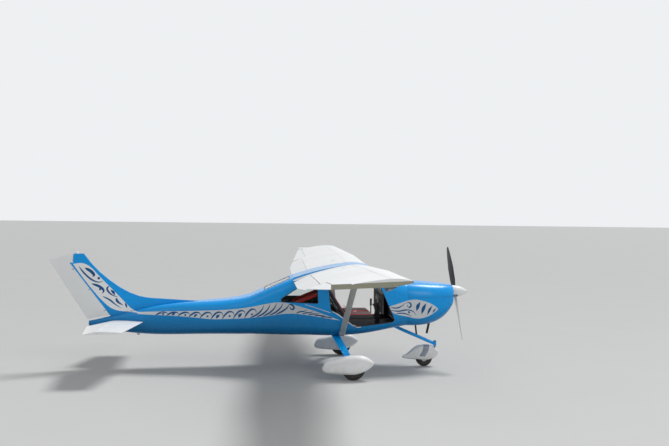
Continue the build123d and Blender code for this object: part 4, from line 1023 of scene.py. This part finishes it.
def wing_details():
    """Skin joints, rivets and fuel caps on top of each wing, cuffs on the struts"""
    for word, side in SIDES:
        skin = skin_tree(f"wing_{word}")
        seams = [[(wing_x(y, share), side * y) for share in (0.02, 0.66)] for y in (0.52, TAPER_START, 4.42)]
        seams.append([(wing_x(y, 0.27), side * y) for y in (0.4, TAPER_START, 4.5)])
        seams = [[line_shape(seam, WING_SEAM)] for seam in seams]
        film(f"wing_seams_{word}", skin, seams, FAINT_SEAM, views=("top",))
        ribs = [0.6 + 0.12 * i for i in range(33)]
        spots = [on_top(skin, wing_x(y, share), side * y) for share in (0.255, 0.285, 0.62) for y in ribs]
        heads(f"wing_rivets_{word}", spots, 0.0045, 0.0012, "wing_white")
        profile = [(-0.001, 0.042), (0.002, 0.042), (0.004, 0.038), (0.004, 0.033), (0.006, 0.031),
                   (0.0065, 0.012)]
        cap = turned(profile, *on_top(skin, wing_x(0.95, 0.4), side * 0.95))
        piece(f"fuel_cap_{word}", cap, "wing_white")
        piece(f"strut_cuffs_{word}", strut_cuffs(side), "strut_grey")


def wing_tip_corners():
    """The squared-off rear corner of each wing tip, which rises out of the wing's thin tail"""
    for word, side in SIDES:
        skin = skin_tree(f"wing_{word}")
        rings = []
        for i in range(8):
            x = 0.695 + 0.195 * i / 7
            top, low = [], []
            for j in range(7):
                share = j / 6
                y = side * (4.463 + 0.0865 * share)
                z = on_top(skin, x, y - side * 0.001)[0].z
                rise = TIP_EDGE_Z[0] + TIP_SLOPE * (x - TIP_EDGE_X[0]) - z
                lifted = z + TIP_LIFT + (rise - TIP_LIFT) * share * share * (3 - 2 * share)
                top.append((x, y, lifted if rise > TIP_LIFT else z - 0.0005))
                low.append((x, y, z - 0.0035 if i else TIP_TAIL_Z))
            rings.append(low + top[::-1] if side > 0 else top + low[::-1])
        piece(f"wing_tip_corner_{word}", rings_mesh(rings), "wing_white", WING_PAINT, smooth=False)


def pant_caps():
    """The rounded ends that close the nose and tail of each wheel fairing"""
    main = ((1.6, 1, 0.0215, 0.0235, 0.238), (0.878, -1, 0.0295, 0.0365, 0.169))
    nose = ((2.768, 1, 0.0155, 0.0245, 0.211), (2.206, -1, 0.0235, 0.0135, 0.146))
    for name, y, ends, body in (
        ("main_pant_caps_right", -1.01, main, "airframe"),
        ("main_pant_caps_left", 1.01, main, "airframe"),
        ("nose_pant_caps", 0.0, nose, "nose_fork"),
    ):
        caps = []
        for x, way, half_y, half_z, z in ends:
            depth = way * 0.5 * min(half_y, half_z)
            rings = [oval((x + depth * reach, y, z), (0, half_y * size, 0), (0, 0, half_z * size * way))
                     for reach, size in CAP_RINGS]
            caps.append(rings_mesh(rings))
        piece(name, joined(caps), "wing_white", body=body)


def nose_pant_band():
    """The grey band round the nose fairing, leaning forward"""
    skin = skin_tree("nose_pant")
    vertices = []
    for k in range(41):
        angle = radians(-125 + 250 * k / 40)
        out = Vector((0, sin(angle), cos(angle)))
        for share in (0, 0.25, 0.5, 0.75, 1):
            centre = Vector((2.487 + 0.095 * share + 0.045 * cos(angle), 0, 0.21))
            hit, normal = cast(skin, centre + out * 0.5, -out)
            vertices.append(hit + normal * 0.001)
    faces = [(5 * i + j, 5 * i + j + 1, 5 * i + j + 6, 5 * i + j + 5) for i in range(40) for j in range(4)]
    piece("nose_fairing_band", (vertices, faces), "wing_white", PANEL_GREY, "nose_fork")


def small_details():
    """Spinner screws, the dark plate behind the spinner, which is also painted shade for the gap before the
    cowl, and the beacon's foot
    """
    skin, centre = skin_tree("spinner"), Vector((2.998, 0, SHAFT_Z))
    outs = [Vector((0, cos(pi * k / 6 + 0.2), sin(pi * k / 6 + 0.2))) for k in range(12)]
    spots = [cast(skin, centre + out * 0.5, -out) for out in outs]
    # A ray that goes in through a blade's slot finds no rim to hold a screw
    spots = [(hit, normal) for hit, normal in spots if hit is not None and (hit - centre).length > 0.09]
    heads("spinner_screws", spots, 0.0035, 0.001, body="propeller")
    # A dark backplate behind the spinner; its darkness is also painted shade for the gap between spinner and
    # cowl
    profile = [(-0.0145, 0.05), (-0.0145, 0.09), (-0.0125, 0.094), (-0.003, 0.0955), (-0.0002, 0.0955)]
    plate = turned(profile, (SPINNER_X, 0, SHAFT_Z), FORWARD, 48)
    piece("spinner_plate_gap_shade", plate, "dark_metal", body="propeller")
    profile = [(-0.002, 0.026), (0.002, 0.026), (0.005, 0.023), (0.005, 0.0205)]
    piece("beacon_foot", turned(profile, (-2.827, 0, 1.7435), UP), "wing_white")


# Floor, light and camera

FLOOR_HALF = 400
SUN_AIM = (-0.5, -0.42, -1)


def hung(name, data, aim, place=(0, 0, 0)):
    """Hangs a lamp so that it shines along aim"""
    lamp = added(name, data)
    lamp.location = place
    lamp.rotation_euler = Vector(aim).to_track_quat("-Z", "Y").to_euler()


def studio():
    """A pale floor, a soft sun from the front left, two large fills on the right and a pale surround"""
    scene = bpy.context.scene
    scene.view_settings.view_transform = "Standard"
    corners = [(x * FLOOR_HALF, y * FLOOR_HALF, 0) for x, y in ((-1, -1), (1, -1), (1, 1), (-1, 1))]
    floor = mesh_object("floor", corners, [(0, 1, 2, 3)])
    tree = Tree("floor_pale")
    tree.set(color=tree.mix(tree.noise(0.7, 6), (0.5, 0.5, 0.49), (0.53, 0.53, 0.52)), rough=0.8)
    floor.data.materials.append(tree.material)

    scene.world = bpy.data.worlds.new("studio")
    scene.world.use_nodes = True
    nodes, links = scene.world.node_tree.nodes, scene.world.node_tree.links
    nodes.clear()
    # The first background lights the scene; camera, glass and reflections see the second
    mixer, output = nodes.new("ShaderNodeMixShader"), nodes.new("ShaderNodeOutputWorld")
    path = nodes.new("ShaderNodeLightPath")
    for slot, color, strength in ((1, (0.93, 0.96, 1), 0.34), (2, (0.93, 0.95, 0.97), 0.92)):
        background = nodes.new("ShaderNodeBackground")
        background.inputs["Color"].default_value = (*color, 1)
        background.inputs["Strength"].default_value = strength
        links.new(background.outputs[0], mixer.inputs[slot])
    seen = path.outputs["Is Camera Ray"]
    for ray in ("Is Transmission Ray", "Is Glossy Ray"):
        either = nodes.new("ShaderNodeMath")
        either.operation = "MAXIMUM"
        links.new(seen, either.inputs[0])
        links.new(path.outputs[ray], either.inputs[1])
        seen = either.outputs[0]
    links.new(seen, mixer.inputs[0])
    links.new(mixer.outputs[0], output.inputs["Surface"])

    sun = bpy.data.lights.new("soft_sun", "SUN")
    sun.energy = 2.3
    sun.angle = radians(18)
    hung("soft_sun", sun, SUN_AIM)
    fills = (("front_fill", (10.5, -15, 12), 9, 800), ("rear_fill", (-8, -9, 8), 6, 130))
    for name, place, size, power in fills:
        fill = bpy.data.lights.new(name, "AREA")
        fill.size = size
        fill.energy = power
        hung(name, fill, Vector((0, 0, 0.8)) - Vector(place), place)


def camera():
    """The photograph's place, direction and field of view"""
    yaw, pitch, roll = radians(4.798), radians(-0.2384), radians(0.6534)
    forward = Vector((sin(yaw) * cos(pitch), cos(yaw) * cos(pitch), sin(pitch)))
    level = Vector((cos(yaw), -sin(yaw), 0))
    over = level.cross(forward)
    right = cos(roll) * level + sin(roll) * over
    up = -sin(roll) * level + cos(roll) * over
    data = bpy.data.cameras.new("camera")
    data.sensor_width = 36.0
    data.lens = 39.433
    matrix = Matrix((right, up, -forward)).transposed().to_4x4()
    matrix.translation = (0.1392, -11.4642, 2.2996)
    bpy.context.scene.camera = added("camera", data)
    bpy.context.scene.camera.matrix_world = matrix


studio()
camera()
side_band()
nose_patch()
fin_panel()
opening_trim()
windshield_trim()
seats()
cabin_fittings()
cowl_details()
wing_details()
wing_tip_corners()
pant_caps()
nose_pant_band()
small_details()
